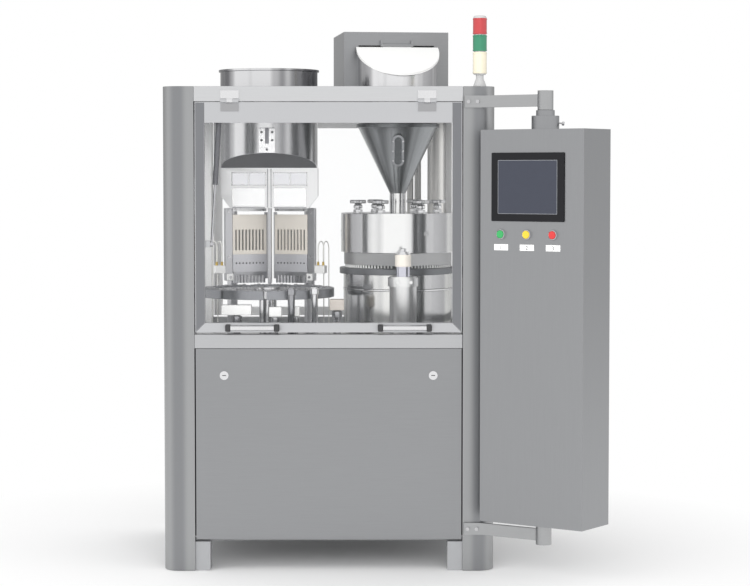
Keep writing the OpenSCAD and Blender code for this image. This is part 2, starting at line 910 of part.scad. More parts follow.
// Lower front panel with the sockets that it tilts on
module front_panel() {
    w = front_window_w;
    color("darkgray") difference() {
        union() {
            translate([-w / 2, panel_y, panel_low]) tray(w, panel_h, panel_t);
            left_and_right()
                block([w / 2 - pin_block, panel_y, panel_low],
                    [w / 2, panel_y + panel_t, panel_low + pin_block]);
        }
        left_and_right() {
            translate([0, panel_pivot_y, panel_pivot_z])
                bar_x(pillar_x - panel_pin_len - pass_gap, pillar_x, panel_pin_r + run_gap);
            translate([lock_x, 0, lock_z]) bar_y(panel_y - 1, panel_y + sheet + 1, lock_r + run_gap);
        }
    }
}

// Quarter-turn lock: head, barrel and tongue, the tongue towards +X
module lock() {
    translate([0, 0, lock_z]) {
        bar_y(panel_y - pass_gap - lock_head_t, panel_y - pass_gap, lock_head_r);
        bar_y(panel_y - lock_head_t, panel_y + panel_t + lock_inner, lock_r);
        block([0, panel_y + panel_t + lock_inner - lock_tongue_t, -lock_tongue_w / 2],
            [lock_tongue, panel_y + panel_t + lock_inner, lock_tongue_w / 2]);
    }
}
module left_lock() { color("white") translate([-lock_x, 0, 0]) lock(); }
module right_lock() { color("white") translate([lock_x, 0, 0]) mirror([1, 0, 0]) lock(); }

// Frame of the hopper's inclined floor: its rear edge at the origin, the floor rising towards -Y
module at_floor() {
    translate([feed_x, feed_y, hopper_low_z]) rotate([-floor_slope, 0, 0]) children();
}

// Round capsule hopper with its lip and the collar that sits on the roof
module capsule_hopper() {
    color("lightgray") difference() {
        translate([feed_x, hopper_y, 0]) {
            tube_z(hopper_low_z, hopper_top, hopper_r, hopper_r - feed_wall);
            tube_z(hopper_top - hopper_lip_h, hopper_top, hopper_r + hopper_lip, hopper_r - feed_wall);
            tube_z(frame_top, frame_top + hopper_lip_h, hopper_r + hopper_collar, hopper_r - feed_wall);
        }
        at_floor() block([-feed_w, -2 * feed_w, -feed_w], [feed_w, 0, 0]);
    }
}

// Dark inclined floor that closes the front of the hopper
module hopper_floor() {
    color("dimgray") intersection() {
        translate([feed_x, hopper_y, 0]) rod_z(hopper_low_z - 1, hopper_top, hopper_r - feed_wall);
        at_floor() block([-feed_w, -2 * feed_w, 0], [feed_w, 0, floor_t]);
    }
}

// Slotted plate with its screws on the hopper, and two bright plates on the feed box
module feeder_plates() {
    color("whitesmoke") {
        difference() {
            translate([feed_x, hopper_y - hopper_r, slot_plate_z])
                block([-slot_plate_w / 2, -feed_plate_t, -slot_plate_h], [slot_plate_w / 2, feed_plate_t, 0]);
            translate([feed_x, hopper_y, 0]) rod_z(hopper_low_z, hopper_top, hopper_r);
            translate([feed_x, hopper_y - hopper_r, slot_plate_z])
                block([-plate_slot_w / 2, -2 * feed_plate_t, -0.8 * slot_plate_h],
                    [plate_slot_w / 2, 2 * feed_plate_t, -0.2 * slot_plate_h]);
        }
        for (side = [-1, 1], row = [1:3])
            translate([feed_x + side * slot_plate_w / 3, 0, slot_plate_z - (row - 0.5) * slot_plate_h / 3])
                bar_y(hopper_y - hopper_r - feed_plate_t - 3, hopper_y - hopper_r - feed_plate_t,
                    plate_screw_r);
        for (side = [-1, 1])
            translate([feed_x + side * feed_window_x, feed_y, feed_plate_low])
                block([-feed_window_w / 2, -feed_plate_t, 0], [feed_window_w / 2, 0, feed_plate_h]);
    }
}

// Outline of the feed box in XZ, drawn in by a wall
module feed_outline(wall) {
    polygon([[-feed_w / 2 + wall, hopper_low_z + 1 - (wall > 0 ? 0 : 1)],
        [-feed_w / 2 + wall, feed_low + feed_taper_h],
        [-feed_low_w / 2 + wall, feed_low - (wall > 0 ? 1 : 0)],
        [feed_low_w / 2 - wall, feed_low - (wall > 0 ? 1 : 0)],
        [feed_w / 2 - wall, feed_low + feed_taper_h],
        [feed_w / 2 - wall, hopper_low_z + 1 - (wall > 0 ? 0 : 1)]]);
}

// Feed box under the hopper with two window openings and the magazines' top bars
module feed_box() {
    color("gray") {
        difference() {
            translate([feed_x, feed_y + feed_d, 0]) rotate([90, 0, 0])
                linear_extrude(feed_d) feed_outline(0);
            translate([feed_x, feed_y + feed_d - feed_wall, 0]) rotate([90, 0, 0])
                linear_extrude(feed_d - 2 * feed_wall) feed_outline(feed_wall);
            for (side = [-1, 1]) translate([feed_x + side * feed_window_x, feed_y, feed_window_z])
                block([-feed_window_w / 2, -1, -feed_window_h / 2],
                    [feed_window_w / 2, feed_wall + 1, feed_window_h / 2]);
        }
        for (side = [-1, 1]) at_magazine(side)
            block([-magazine_w / 2, -magazine_t / 2, feed_low - top_bar_h],
                [magazine_w / 2, magazine_t / 2, feed_low]);
    }
}

// Frame of a magazine: X along it, Y out from the turret's axis; side -1 is the left one
module at_magazine(side) {
    translate([feed_x, turret_y, 0]) rotate([0, 0, -side * magazine_turn])
        translate([0, magazine_ring_r, 0]) children();
}

// Places of a magazine's channels along it
function channel_x(i) = (i - (channels - 1) / 2) * channel_pitch;

// Outer posts that the magazines slide between, the divider, and two columns up to the feed box
module magazine_posts() {
    color("silver") {
        for (side = [-1, 1]) {
            at_magazine(side) mirror([side < 0 ? 1 : 0, 0, 0])
                block([magazine_w / 2 + pass_gap, -magazine_t / 2, side_post_low],
                    [magazine_w / 2 + pass_gap + side_post_w, magazine_t / 2, feed_low]);
            translate([feed_x + side * support_x, support_y, 0]) rod_z(deck_top, feed_low, support_r);
        }
        translate([feed_x, feed_y, 0])
            block([-divider_w / 2, 0, comb_low], [divider_w / 2, divider_d, feed_low]);
    }
}

// Cream magazine plates with their slots
module magazine_plates() {
    color("cornsilk") for (side = [-1, 1]) at_magazine(side) difference() {
        block([-magazine_w / 2, -magazine_t / 2, plate_low],
            [magazine_w / 2, magazine_t / 2, plate_low + plate_h]);
        for (i = [0:channels - 1]) translate([channel_x(i), 0, plate_low + plate_h / 10])
            block([-slot_w / 2, -magazine_t, 0], [slot_w / 2, 0, slot_h]);
    }
}

// Grey magazine blocks with a row of holes
module magazine_blocks() {
    color("gray") for (side = [-1, 1]) at_magazine(side) difference() {
        block([-magazine_w / 2, -magazine_t / 2 - 3, block_low], [magazine_w / 2, magazine_t / 2, plate_low]);
        for (i = [0:channels - 1]) translate([channel_x(i), 0, block_low + block_h / 2])
            bar_y(-magazine_t, 0, channel_r);
    }
}

// Ribbed combs that push the capsules into the turret
module combs() {
    rib_w = slot_w;
    color("silver") for (side = [-1, 1]) at_magazine(side) {
        block([-comb_w / 2, -magazine_t / 2, block_low - comb_bar_h],
            [comb_w / 2, magazine_t / 2, block_low - pass_gap]);
        for (i = [0:comb_ribs - 1])
            translate([(i - (comb_ribs - 1) / 2) * (comb_w - rib_w) / (comb_ribs - 1), 0, 0])
                block([-rib_w / 2, -magazine_t / 2, comb_low],
                    [rib_w / 2, magazine_t / 2, block_low - comb_bar_h + 1]);
    }
}

// Frame of a sensor block: X out from its post, Z at its top
module at_sensor(side) {
    at_magazine(side) mirror([side < 0 ? 1 : 0, 0, 0])
        translate([magazine_w / 2 + pass_gap + side_post_w, 0, sensor_low + sensor_h]) children();
}

// Air tubes from the fittings up, over and down to the deck
module air_tubes() {
    color("ivory") for (side = [-1, 1], i = [1, 3]) at_sensor(side) translate([i * sensor_w / 4, 0, 0]) {
        rod_z(fitting_h, fitting_h + air_rise, air_tube_r);
        translate([0, air_bend_r, fitting_h + air_rise]) rotate([90, 0, -90])
            rotate_extrude(angle = 180) translate([air_bend_r, 0]) circle(r = air_tube_r);
        translate([0, 2 * air_bend_r, 0])
            rod_z(deck_top - sensor_low - sensor_h, fitting_h + air_rise, air_tube_r);
    }
}

// Turret disc, hub and shaft
module turret_disc() {
    color("lightgray") translate([feed_x, turret_y, 0]) {
        rod_z(turret_low, turret_top - 4, disc_in_r);
        rod_z(turret_low, turret_top + 3, 1.5 * column_r);
        rod_z(shaft_low, turret_low + 1, shaft_r);
    }
}

// Dark segments round the turret's rim
module turret_segments() {
    color("darkslategray") translate([feed_x, turret_y, 0]) for (i = [0:stations - 1])
        rotate([0, 0, i * station_step - 90 + segment_gap / 2])
            translate([0, 0, turret_low]) rotate_extrude(angle = station_step - segment_gap)
                translate([disc_in_r, 0]) square([segment_d, turret_t]);
}

// Turret column, and posts with collars that carry the station blocks
module station_posts() {
    color("silver") {
        translate([feed_x, turret_y, 0]) tube_z(deck_top, turret_low - 2, column_r, shaft_r + run_gap);
        for (p = station_places) translate([feed_x + p[0], turret_y + p[1], 0]) {
            rod_z(deck_top, deck_top + p[2], p[3]);
            rod_z(deck_top + p[2] - post_collar_drop - post_collar_h, deck_top + p[2] - post_collar_drop,
                p[3] + post_collar);
        }
    }
}

// White blocks: on the posts under the turret's rim, and beside the magazines with two air fittings each
module station_blocks() {
    color("white") {
        for (b = station_block_sizes)
            translate([feed_x + station_places[b[0]][0], turret_y + station_places[b[0]][1],
                deck_top + station_places[b[0]][2]])
                block([-b[1] / 2, -b[2] / 2, 0], [b[1] / 2, b[2] / 2, b[3]]);
        for (side = [-1, 1]) at_sensor(side) {
            block([0, -sensor_d / 2, -sensor_h], [sensor_w, sensor_d / 2, 0]);
            for (i = [1, 3]) translate([i * sensor_w / 4, 0, 0]) rod_z(0, fitting_h, fitting_r);
        }
    }
}

// Frame of the dosing unit: its axis is Z
module at_dosing() {
    translate([dosing_x, dosing_y, 0]) children();
}

// Front and rear guide posts
module at_posts() {
    for (turn = [0, 180]) at_dosing() rotate([0, 0, post_angle + turn])
        translate([0, -post_reach, 0]) children();
}

// Fixed bowl under the dosing disc, with a groove round it
module dosing_bowl() {
    color("lightgray") at_dosing() difference() {
        rod_z(deck_top, deck_top + bowl_h, bowl_r);
        rod_z(deck_top - 1, deck_top + bowl_h + 1, shaft_r + run_gap);
        tube_z(groove_z, groove_z + groove_w, bowl_r + 1, bowl_r - groove_d);
    }
}

// Dark dosing disc with its shaft
module dosing_disc() {
    color("dimgray") at_dosing() {
        rod_z(disc_low, disc_top, disc_r);
        rod_z(shaft_low, disc_low + 1, shaft_r);
    }
}

// Outline of the tamping plate: a circle drawn out to both guide posts
module tamping_outline() {
    tangent = acos(tamping_r / post_reach);
    circle(r = tamping_r);
    for (turn = [0, 180]) rotate(post_angle + turn - 90)
        polygon([[post_reach, 0], tamping_r * [cos(tangent), sin(tangent)], [0, 0],
            tamping_r * [cos(tangent), -sin(tangent)]]);
}

// Tamping plate with sets of pins below it
module tamping_plate() {
    color("darkgray") {
        difference() {
            at_dosing() translate([0, 0, plate_z]) linear_extrude(tamping_t) tamping_outline();
            at_dosing() rod_z(plate_z - 1, head_low + 1, head_bore_r);
            at_posts() rod_z(plate_z - 1, head_low + 1, bush_r);
        }
        at_dosing() for (i = [0:knobs - 1], j = pin_set)
            at_knob(i) translate([0, j * pin_pitch, 0])
                rod_z(disc_top + pin_gap, plate_z + 1, pin_r);
    }
}

// Round tamping head with sockets for the knobs
module tamping_head() {
    color("lightgray") at_dosing() difference() {
        rod_z(head_low, head_top, head_r);
        rod_z(head_low - 1, head_top + 1, head_bore_r);
        for (i = [0:knobs - 1]) at_knob(i)
            rod_z(head_top - stem_depth - pass_gap, head_top + 1, stem_r + run_gap);
    }
}

// Place of a knob on the tamping head
module at_knob(i) {
    rotate([0, 0, i * 360 / knobs + knob_turn]) translate([knob_ring_r, 0, 0]) children();
}

// Adjusting knob on its stem
module knob(i) {
    color("silver") at_dosing() at_knob(i) {
        rod_z(head_top - stem_depth, knob_z + 1, stem_r);
        rod_z(knob_z, knob_z + knob_t, knob_r);
    }
}

// Guide rods with bush and nut, which carry the tamping plate
module guide_rods() {
    color("cornsilk") at_posts() {
        rod_z(rod_low, plate_z + 1, rod_r);
        rod_z(plate_z, head_low, bush_r);
        rod_z(head_low - 1, head_low + rod_nut_h, rod_nut_r);
    }
}

// Fixed tubes that the guide rods slide in, each with a bolted clamp
module post_tubes() {
    color("silver") at_posts() difference() {
        union() {
            rod_z(deck_top, post_top, post_r);
            rod_z(post_top - clamp_h - clamp_drop, post_top - clamp_drop, post_r + clamp_wall);
            for (side = [-1, 1]) translate([side * post_r / 2, 0, post_top - clamp_h / 2 - clamp_drop])
                bar_y(-post_r - 2 * clamp_wall, 0, clamp_wall);
        }
        rod_z(deck_top - 1, post_top + 1, rod_r + run_gap);
    }
}

// Powder cone with its neck and upper lip
module powder_cone() {
    color("lightgray") at_dosing() rotate_extrude() polygon([
        [neck_r - powder_wall, neck_low], [neck_r, neck_low], [neck_r, neck_top],
        [powder_r, cone_end], [powder_r + cone_lip, cone_end],
        [powder_r + cone_lip, cone_top], [powder_r - powder_wall, cone_top],
        [neck_r - powder_wall, neck_top]]);
}

// Sight window on the front of the cone
module cone_window() {
    color("whitesmoke") at_dosing() difference() {
        translate([0, -sight_y, sight_z]) rotate([cone_slope, 0, 0])
            block([-sight_w / 2, -sight_t, -sight_h / 2], [sight_w / 2, sight_t, sight_h / 2]);
        translate([0, 0, neck_top]) cylinder(r1 = neck_r, r2 = powder_r, h = cone_end - neck_top);
    }
}

// Frame of the powder hopper's mouth and hood, turned with the hood
module at_powder() {
    at_dosing() rotate([0, 0, hood_turn]) children();
}

// Frame of the sloping mouth: its low front edge at the origin, its plane in XY
module at_mouth() {
    at_powder() translate([0, -powder_r, mouth_front_z]) rotate([mouth_slope, 0, 0]) children();
}

// Upper cylinder with a sloping mouth, its collar on the roof and the agitator's bridge
module powder_cylinder() {
    color("silver") {
        difference() {
            at_powder() {
                tube_z(cone_top, cylinder_top, powder_r, powder_r - powder_wall);
                difference() {
                    tube_z(frame_top, frame_top + powder_collar_h, powder_r + powder_collar,
                        powder_r - powder_wall);
                    block([-hood_w, hood_back - 1, frame_top - 1],
                        [hood_w, hood_w, frame_top + powder_collar_h + 1]);
                }
            }
            at_mouth() block([-2 * powder_r, -powder_r, 0], [2 * powder_r, 4 * powder_r, 2 * powder_r]);
        }
        at_powder() difference() {
            intersection() {
                block([-powder_r, -bridge_w / 2, bridge_z], [powder_r, bridge_w / 2, bridge_z + bridge_t]);
                rod_z(bridge_z - 1, bridge_z + bridge_t + 1, powder_r - powder_wall / 2);
            }
            rod_z(bridge_z - 1, bridge_z + bridge_t + 1, agitator_r + run_gap);
        }
    }
}

// Agitator: shaft on the bridge with two paddles in the cone
module agitator() {
    color("silver") at_powder() {
        rod_z(neck_top, bridge_z + bridge_t + agitator_collar_h, agitator_r);
        rod_z(bridge_z + bridge_t + pass_gap, bridge_z + bridge_t + agitator_collar_h, 2 * agitator_r);
        rod_z(bridge_z - agitator_collar_h, bridge_z - pass_gap, 2 * agitator_r);
        for (i = [0, 1]) rotate([0, 0, 90 * i]) {
            reach = paddle_reach * (neck_r + (paddle_z[i] - neck_top) * tan(cone_slope));
            block([-reach, -paddle_t / 2, paddle_z[i]], [reach, paddle_t / 2, paddle_z[i] + paddle_h]);
        }
    }
}

// Hood of separate sheets behind the mouth, with the loading cover's pin
module hood() {
    side_x = hood_w / 2;
    color("darkgray") at_powder() {
        difference() {
            block([-side_x, hood_back, frame_top], [side_x, hood_back + sheet, hood_top]);
            rod_z(frame_top - 1, hood_notch_top, powder_r + roof_hole_gap);
        }
        left_and_right()
            block([side_x - sheet, hood_back + sheet, frame_top], [side_x, hood_back + hood_d, hood_top]);
        block([-side_x + sheet, hood_back + hood_d - sheet, frame_top],
            [side_x - sheet, hood_back + hood_d, hood_top - sheet]);
        block([-side_x + sheet, hood_back + sheet, hood_top - sheet],
            [side_x - sheet, hood_back + hood_d, hood_top]);
        translate([0, cover_axis_y, cover_axis_z]) {
            bar_x(-cover_half - cover_lug, cover_half + cover_lug, cover_pin_r);
            left_and_right() {
                block([cover_half + pass_gap, -cover_pin_r, -cover_pin_r],
                    [cover_half + cover_lug, hood_back - cover_axis_y, cover_pin_r]);
                block([cover_half + pass_gap, 0, -cover_pin_r],
                    [cover_half + cover_lug, hood_back - cover_axis_y, cover_lug_h]);
            }
        }
    }
}

// White cover on the sloping mouth, hinged at its upper edge
module loading_cover() {
    color("white") difference() {
        union() {
            intersection() {
                at_powder() rod_z(frame_top, hood_top, powder_r + cover_lip);
                at_mouth() block([-2 * powder_r, -powder_r, pass_gap], [2 * powder_r, 3 * powder_r, cover_t]);
                at_powder()
                    block([-2 * powder_r, -2 * powder_r, frame_top], [2 * powder_r, cover_edge_y, hood_top]);
            }
            at_powder() translate([0, cover_axis_y, cover_axis_z]) {
                bar_x(-cover_half, cover_half, cover_knuckle_r);
                rotate([mouth_slope, 0, 0])
                    block([1 - cover_half, -cover_web, 1 - cover_knuckle_r],
                        [cover_half - 1, 0, 1 - cover_knuckle_r + cover_web_t]);
            }
        }
        at_powder() translate([0, cover_axis_y, cover_axis_z])
            bar_x(-cover_half - 1, cover_half + 1, cover_pin_r + run_gap);
    }
}

// Brushed column and two pipes behind the dosing unit
module rear_pipes() {
    color("silver") for (p = rear_pipe_places)
        translate([dosing_x + p[0], p[1], 0]) rod_z(deck_top, roof_low, p[2]);
}

// Signal tower on the right pillar: flared base, neck, stacked lamps and cap
module signal_tower() {
    translate([tower_x, tower_y, 0]) {
        color("lightgray") {
            translate([0, 0, frame_top]) cylinder(r1 = lamp_r - 2, r2 = lamp_r - 9, h = tower_base_h / 2);
            rod_z(frame_top, lamp_z, lamp_r - 12);
            rod_z(lamp_z - 4, lamp_tops[2] + cap_h, lamp_r - 4);
        }
        color("ivory") rod_z(lamp_z, lamp_tops[0], lamp_r);
        color("limegreen") rod_z(lamp_tops[0] + lamp_gap, lamp_tops[1], lamp_r);
        color("red") rod_z(lamp_tops[1] + lamp_gap, lamp_tops[2], lamp_r);
    }
}

// Frame of the control box: the swivel axis is Z, the front looks along -Y before the turn
module at_box() {
    translate([swivel_x, swivel_y, 0]) rotate([0, 0, box_turn]) children();
}

// Arm from the right pillar to a swivel boss
module arm(z) {
    z_mid = z + boss_h / 2;
    block([arm_root_x - arm_plate_w, front_y - arm_plate_t, z_mid - arm_h / 2],
        [arm_root_x, front_y, z_mid + arm_h / 2]);
    difference() {
        union() {
            translate([arm_root_x - arm_t / 2, front_y - arm_plate_t / 2, z_mid])
                rotate([0, 0, atan2(arm_run[1], arm_run[0])])
                    block([0, -arm_t / 2, -arm_h / 2], [norm(arm_run), arm_t / 2, arm_h / 2]);
            translate([swivel_x, swivel_y, 0]) rod_z(z, z + boss_h, boss_r);
        }
        translate([swivel_x, swivel_y, 0]) rod_z(z - 1, z + boss_h + 1, spindle_r + run_gap);
    }
}

// Upper and lower arms that carry the control box
module arm_brackets() {
    color("lightgray") {
        arm(top_boss_z);
        arm(low_boss_z);
    }
}

// Places of the buttons on the control box, with Z out of its front
module at_button(i) {
    at_box() translate([button_x[i], -box_d / 2, button_z]) rotate([90, 0, 0]) children();
}

// Sheet control box with its collar, spindles and button bezels
module control_box() {
    color("darkgray") {
        difference() {
            at_box() block([-box_w / 2, -box_d / 2, box_low], [box_w / 2, box_d / 2, box_top]);
            at_box() block([-box_w / 2 + sheet, -box_d / 2 + sheet, box_low + sheet],
                [box_w / 2 - sheet, box_d / 2 - sheet, box_top - sheet]);
            for (i = [0:2]) at_button(i) rod_z(-sheet - 1, 1, button_stem_r + run_gap);
        }
        translate([swivel_x, swivel_y, 0]) {
            rod_z(box_top - weld, box_top + collar_h, collar_r);
            rod_z(box_top + collar_h - 1, top_boss_z - pass_gap, boss_r + spindle_collar);
            rod_z(box_top + collar_h, top_boss_z + boss_h, spindle_r);
            rod_z(low_boss_z + boss_h + pass_gap, box_low + weld, boss_r + spindle_collar);
            rod_z(low_boss_z, box_low + weld, spindle_r);
        }
        for (i = [0:2]) at_button(i) tube_z(-weld, bezel_h, button_r + bezel_wall, button_r + pass_gap);
    }
}

// Touch screen on the front of the control box
module touch_screen() {
    color("black") at_box()
        block([screen_shift - screen_w / 2, -box_d / 2 - screen_t, screen_z],
            [screen_shift + screen_w / 2, -box_d / 2, screen_z + screen_h]);
}

// Push button: cap in the bezel and a stem through the box's front
module button(i) {
    at_button(i) {
        rod_z(button_travel + pass_gap, bezel_h + 4, button_r);
        rod_z(-sheet - 8, button_travel + 1, button_stem_r);
    }
}
module green_button() { color("limegreen") button(0); }
module yellow_button() { color("gold") button(1); }
module red_button() { color("red") button(2); }

// Geared drive motor on the base plate, with the camshaft in its hollow output
module drive_motor() {
    color("dimgray") difference() {
        union() {
            block([gearbox_x, camshaft_y - gearbox_w / 2, base_top],
                [gearbox_x + gearbox_w, camshaft_y + gearbox_w / 2, camshaft_z + gearbox_w / 2]);
            translate([gearbox_x + gearbox_w / 2, camshaft_y - gearbox_w / 2, camshaft_z - gearbox_w / 2])
                bar_y(-motor_len, 1, motor_r);
        }
        translate([0, camshaft_y, camshaft_z])
            bar_x(gearbox_x - 1, gearbox_x + gearbox_w + 1, camshaft_r + run_gap);
    }
}

// Index boxes under the deck and the camshaft's bearing stands
module drive_housings() {
    color("gray") {
        for (p = [[feed_x, turret_y], [dosing_x, dosing_y]]) translate([p[0], p[1], 0]) difference() {
            block([-index_w / 2, -index_w / 2, index_low], [index_w / 2, index_w / 2, deck_low]);
            rod_z(index_low - 1, deck_low + 1, shaft_r + run_gap);
        }
        for (x = [gearbox_x + gearbox_w + bearing_w, camshaft_right - 2 * bearing_w]) difference() {
            block([x, camshaft_y - 2 * camshaft_r, base_top],
                [x + bearing_w, camshaft_y + 2 * camshaft_r, camshaft_z + 2 * camshaft_r]);
            translate([0, camshaft_y, camshaft_z]) bar_x(x - 1, x + bearing_w + 1, camshaft_r + run_gap);
        }
    }
}

// Camshaft with cams set opposite each other in turn
module camshaft() {
    color("lightgray") translate([0, camshaft_y, camshaft_z]) {
        bar_x(gearbox_x + sheet, camshaft_right, camshaft_r);
        for (i = [0:len(cam_x) - 1])
            translate([cam_x[i], (i % 2 == 0 ? 1 : -1) * cam_throw, 0]) bar_x(0, cam_w, cam_r);
    }
}

base_frame();
corner_pillars();
frame_rails();
roof_panel();
deck_plate();
fixed_panels();
window_hinges();
front_window_frame();
front_window_pane();
window_handles();
strut_rod();
strut_tube();
left_window();
right_window();
rear_window();
front_panel();
left_lock();
right_lock();
capsule_hopper();
hopper_floor();
feeder_plates();
feed_box();
magazine_posts();
magazine_plates();
magazine_blocks();
combs();
air_tubes();
turret_disc();
turret_segments();
station_posts();
station_blocks();
dosing_bowl();
dosing_disc();
tamping_plate();
tamping_head();
guide_rods();
post_tubes();
knob(0);  // knob_1
knob(1);  // knob_2
knob(2);  // knob_3
knob(3);  // knob_4
knob(4);  // knob_5
knob(5);  // knob_6
powder_cone();
cone_window();
powder_cylinder();
agitator();
hood();
loading_cover();
rear_pipes();
signal_tower();
arm_brackets();
control_box();
touch_screen();
green_button();
yellow_button();
red_button();
drive_motor();
drive_housings();
camshaft();
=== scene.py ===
# A floor-standing capsule filler in brushed steel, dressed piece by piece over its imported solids.
# The file follows the order in which the machine goes together, from the studio and the air lines
# to the base, the frame, the windows, the feed, the turret, the dosing unit and the control box.
import json
import math

import bmesh
import bpy
from mathutils import Matrix, Vector


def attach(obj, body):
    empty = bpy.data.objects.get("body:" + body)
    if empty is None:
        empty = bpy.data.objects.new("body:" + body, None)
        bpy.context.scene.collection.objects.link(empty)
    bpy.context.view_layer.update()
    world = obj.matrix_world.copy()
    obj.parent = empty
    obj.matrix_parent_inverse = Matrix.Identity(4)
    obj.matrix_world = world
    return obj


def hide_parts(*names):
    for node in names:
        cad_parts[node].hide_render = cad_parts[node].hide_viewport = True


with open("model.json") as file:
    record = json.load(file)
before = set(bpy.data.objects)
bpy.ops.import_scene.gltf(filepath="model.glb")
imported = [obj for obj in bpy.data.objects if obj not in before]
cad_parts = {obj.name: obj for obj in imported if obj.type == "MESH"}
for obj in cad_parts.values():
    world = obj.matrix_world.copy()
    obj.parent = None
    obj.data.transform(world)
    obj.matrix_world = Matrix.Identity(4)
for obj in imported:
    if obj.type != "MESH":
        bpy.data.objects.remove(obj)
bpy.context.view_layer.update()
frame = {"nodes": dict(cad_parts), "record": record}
nodes = frame["nodes"]
body_of = {n: b for b, members in frame["record"]["behaviour"]["bodies"].items() for n in members}

# Studio: a pale floor that runs out to white, a bright room that is dimmer behind, and two soft lamps.
# The camera stands far back at chest height with a long lens, looking a little down.
scene = bpy.context.scene
scene.view_settings.view_transform = "Standard"


def shown(name, data):
    """A new object with this data, at the origin of the scene."""
    made = bpy.data.objects.new(name, data)
    scene.collection.objects.link(made)
    return made


def feed(tree, node, inputs):
    """Feeds a node's inputs, each from a socket, from a node's first output or with a plain value."""
    for label, value in dict(inputs).items():
        if isinstance(value, bpy.types.Node):
            value = value.outputs[0]
        if isinstance(value, bpy.types.NodeSocket):
            tree.links.new(value, node.inputs[label])
        else:
            node.inputs[label].default_value = value
    return node


def added(tree, kind, inputs=(), **settings):
    """A new node in a tree, given its settings and then its inputs; shader nodes go by their short names."""
    node = tree.nodes.new(kind if "Node" in kind else "ShaderNode" + kind)
    for label, value in settings.items():
        setattr(node, label, value)
    return feed(tree, node, inputs)


def maths(tree, operation, *terms):
    """A maths node on nodes, sockets or plain numbers."""
    return added(tree, "Math", enumerate(terms), operation=operation)


def blank(name):
    """A new finish, its node tree and its shader."""
    finish = bpy.data.materials.new(name)
    finish.use_nodes = True
    return finish, finish.node_tree, finish.node_tree.nodes["Principled BSDF"]


camera_data = bpy.data.cameras.new("camera")
camera_data.lens = 105.1
camera_data.sensor_width = 36.0
camera = shown("camera", camera_data)
camera.location = (0.14, -8.394, 1.441)
camera.rotation_euler = (math.radians(86.88), 0, math.radians(-0.2))
scene.camera = camera

room = bpy.data.worlds.new("room")
scene.world = room
room.use_nodes = True
tree = room.node_tree
ray = added(tree, "LightPath").outputs
way = added(tree, "SeparateXYZ", {0: added(tree, "TexCoord").outputs["Generated"]}).outputs
mirrored = added(
    tree, "MapRange", {"Value": way["Y"], "From Min": -0.1, "From Max": 0.7, "To Min": 1.0, "To Max": 0.55})
lit = added(tree, "MapRange", {"Value": ray["Is Glossy Ray"], "To Min": 0.92, "To Max": mirrored})
seen = maths(tree, "MAXIMUM", ray["Is Camera Ray"], ray["Is Transmission Ray"])
feed(tree, tree.nodes["Background"], {"Color": (1, 1, 1, 1), "Strength": maths(tree, "MAXIMUM", seen, lit)})

for name, energy, where in (("broad_lamp", 55, (-2.6, -3.6, 3.9)), ("soft_fill", 120, (0.2, -5.4, 1.7))):
    lamp_data = bpy.data.lights.new(name, "AREA")
    lamp_data.shape = "RECTANGLE"
    lamp_data.size, lamp_data.size_y = 3.0, 2.2
    lamp_data.energy = energy
    lamp = shown(name, lamp_data)
    lamp.location = where
    lamp.rotation_euler = (Vector((0, 0, 1.1)) - lamp.location).to_track_quat("-Z", "Y").to_euler()
    lamp.visible_glossy = False

FLOOR_HALF, FLOOR_DROP = 9, -0.001
floor_mesh = bpy.data.meshes.new("floor")
corners = [(x * FLOOR_HALF, y * FLOOR_HALF, FLOOR_DROP) for x, y in ((-1, -1), (1, -1), (1, 1), (-1, 1))]
floor_mesh.from_pydata(corners, [], [(0, 1, 2, 3)])
floor = shown("floor", floor_mesh)
floor_paint, tree, pale = blank("floor_paint")
feed(tree, pale, {"Base Color": (0.93, 0.93, 0.93, 1), "Roughness": 0.9})
spot = added(tree, "TexCoord").outputs["Object"]
reach = added(tree, "VectorMath", {0: spot}, operation="LENGTH").outputs["Value"]
fade = added(tree, "MapRange", {"Value": reach, "From Min": 0.8, "From Max": 2.0})
white = added(tree, "Emission")
mixed = added(tree, "MixShader", {0: fade, 1: pale, 2: white})
feed(tree, tree.nodes["Material Output"], {0: mixed})
floor_mesh.materials.append(floor_paint)

# Air lines: four thin plastic tubes, two from each sensor block beside the magazines.
# Each rises out of its fitting, bends over to the rear and drops to the deck.
FEED_X, TURRET_Y = -0.235, -0.15
LINE_RADIUS, FITTING_TOP, BEND_Z, BEND_RADIUS, DROP_STEP = 0.002, 1.102, 1.15, 0.03, 0.031
FITTINGS = (0.0983 + 0.0105, 0.0983 + 0.0315)


def moved(*to):
    """A move, as a frame to place things in."""
    return Matrix.Translation(to)


def spun(degrees, axis):
    """A turn round an axis, as a frame to place things in."""
    return Matrix.Rotation(math.radians(degrees), 4, axis)


def magazine_frame(side):
    """Frame of a magazine: X along it, Y out from the turret's axis; side -1 is the left one."""
    return moved(FEED_X, TURRET_Y, 0) @ spun(-20 * side, "Z") @ moved(0, 0.243, 0)


def group_with(name, vectors, numbers):
    """A new shader group that makes a Tone; gives back its tree, its input sockets and its output node."""
    group = bpy.data.node_groups.new(name, "ShaderNodeTree")
    for labels, kind in ((vectors, "NodeSocketVector"), (numbers, "NodeSocketFloat")):
        for label in labels:
            group.interface.new_socket(label, in_out="INPUT", socket_type=kind)
    group.interface.new_socket("Tone", in_out="OUTPUT", socket_type="NodeSocketFloat")
    return group, added(group, "NodeGroupInput").outputs, added(group, "NodeGroupOutput")


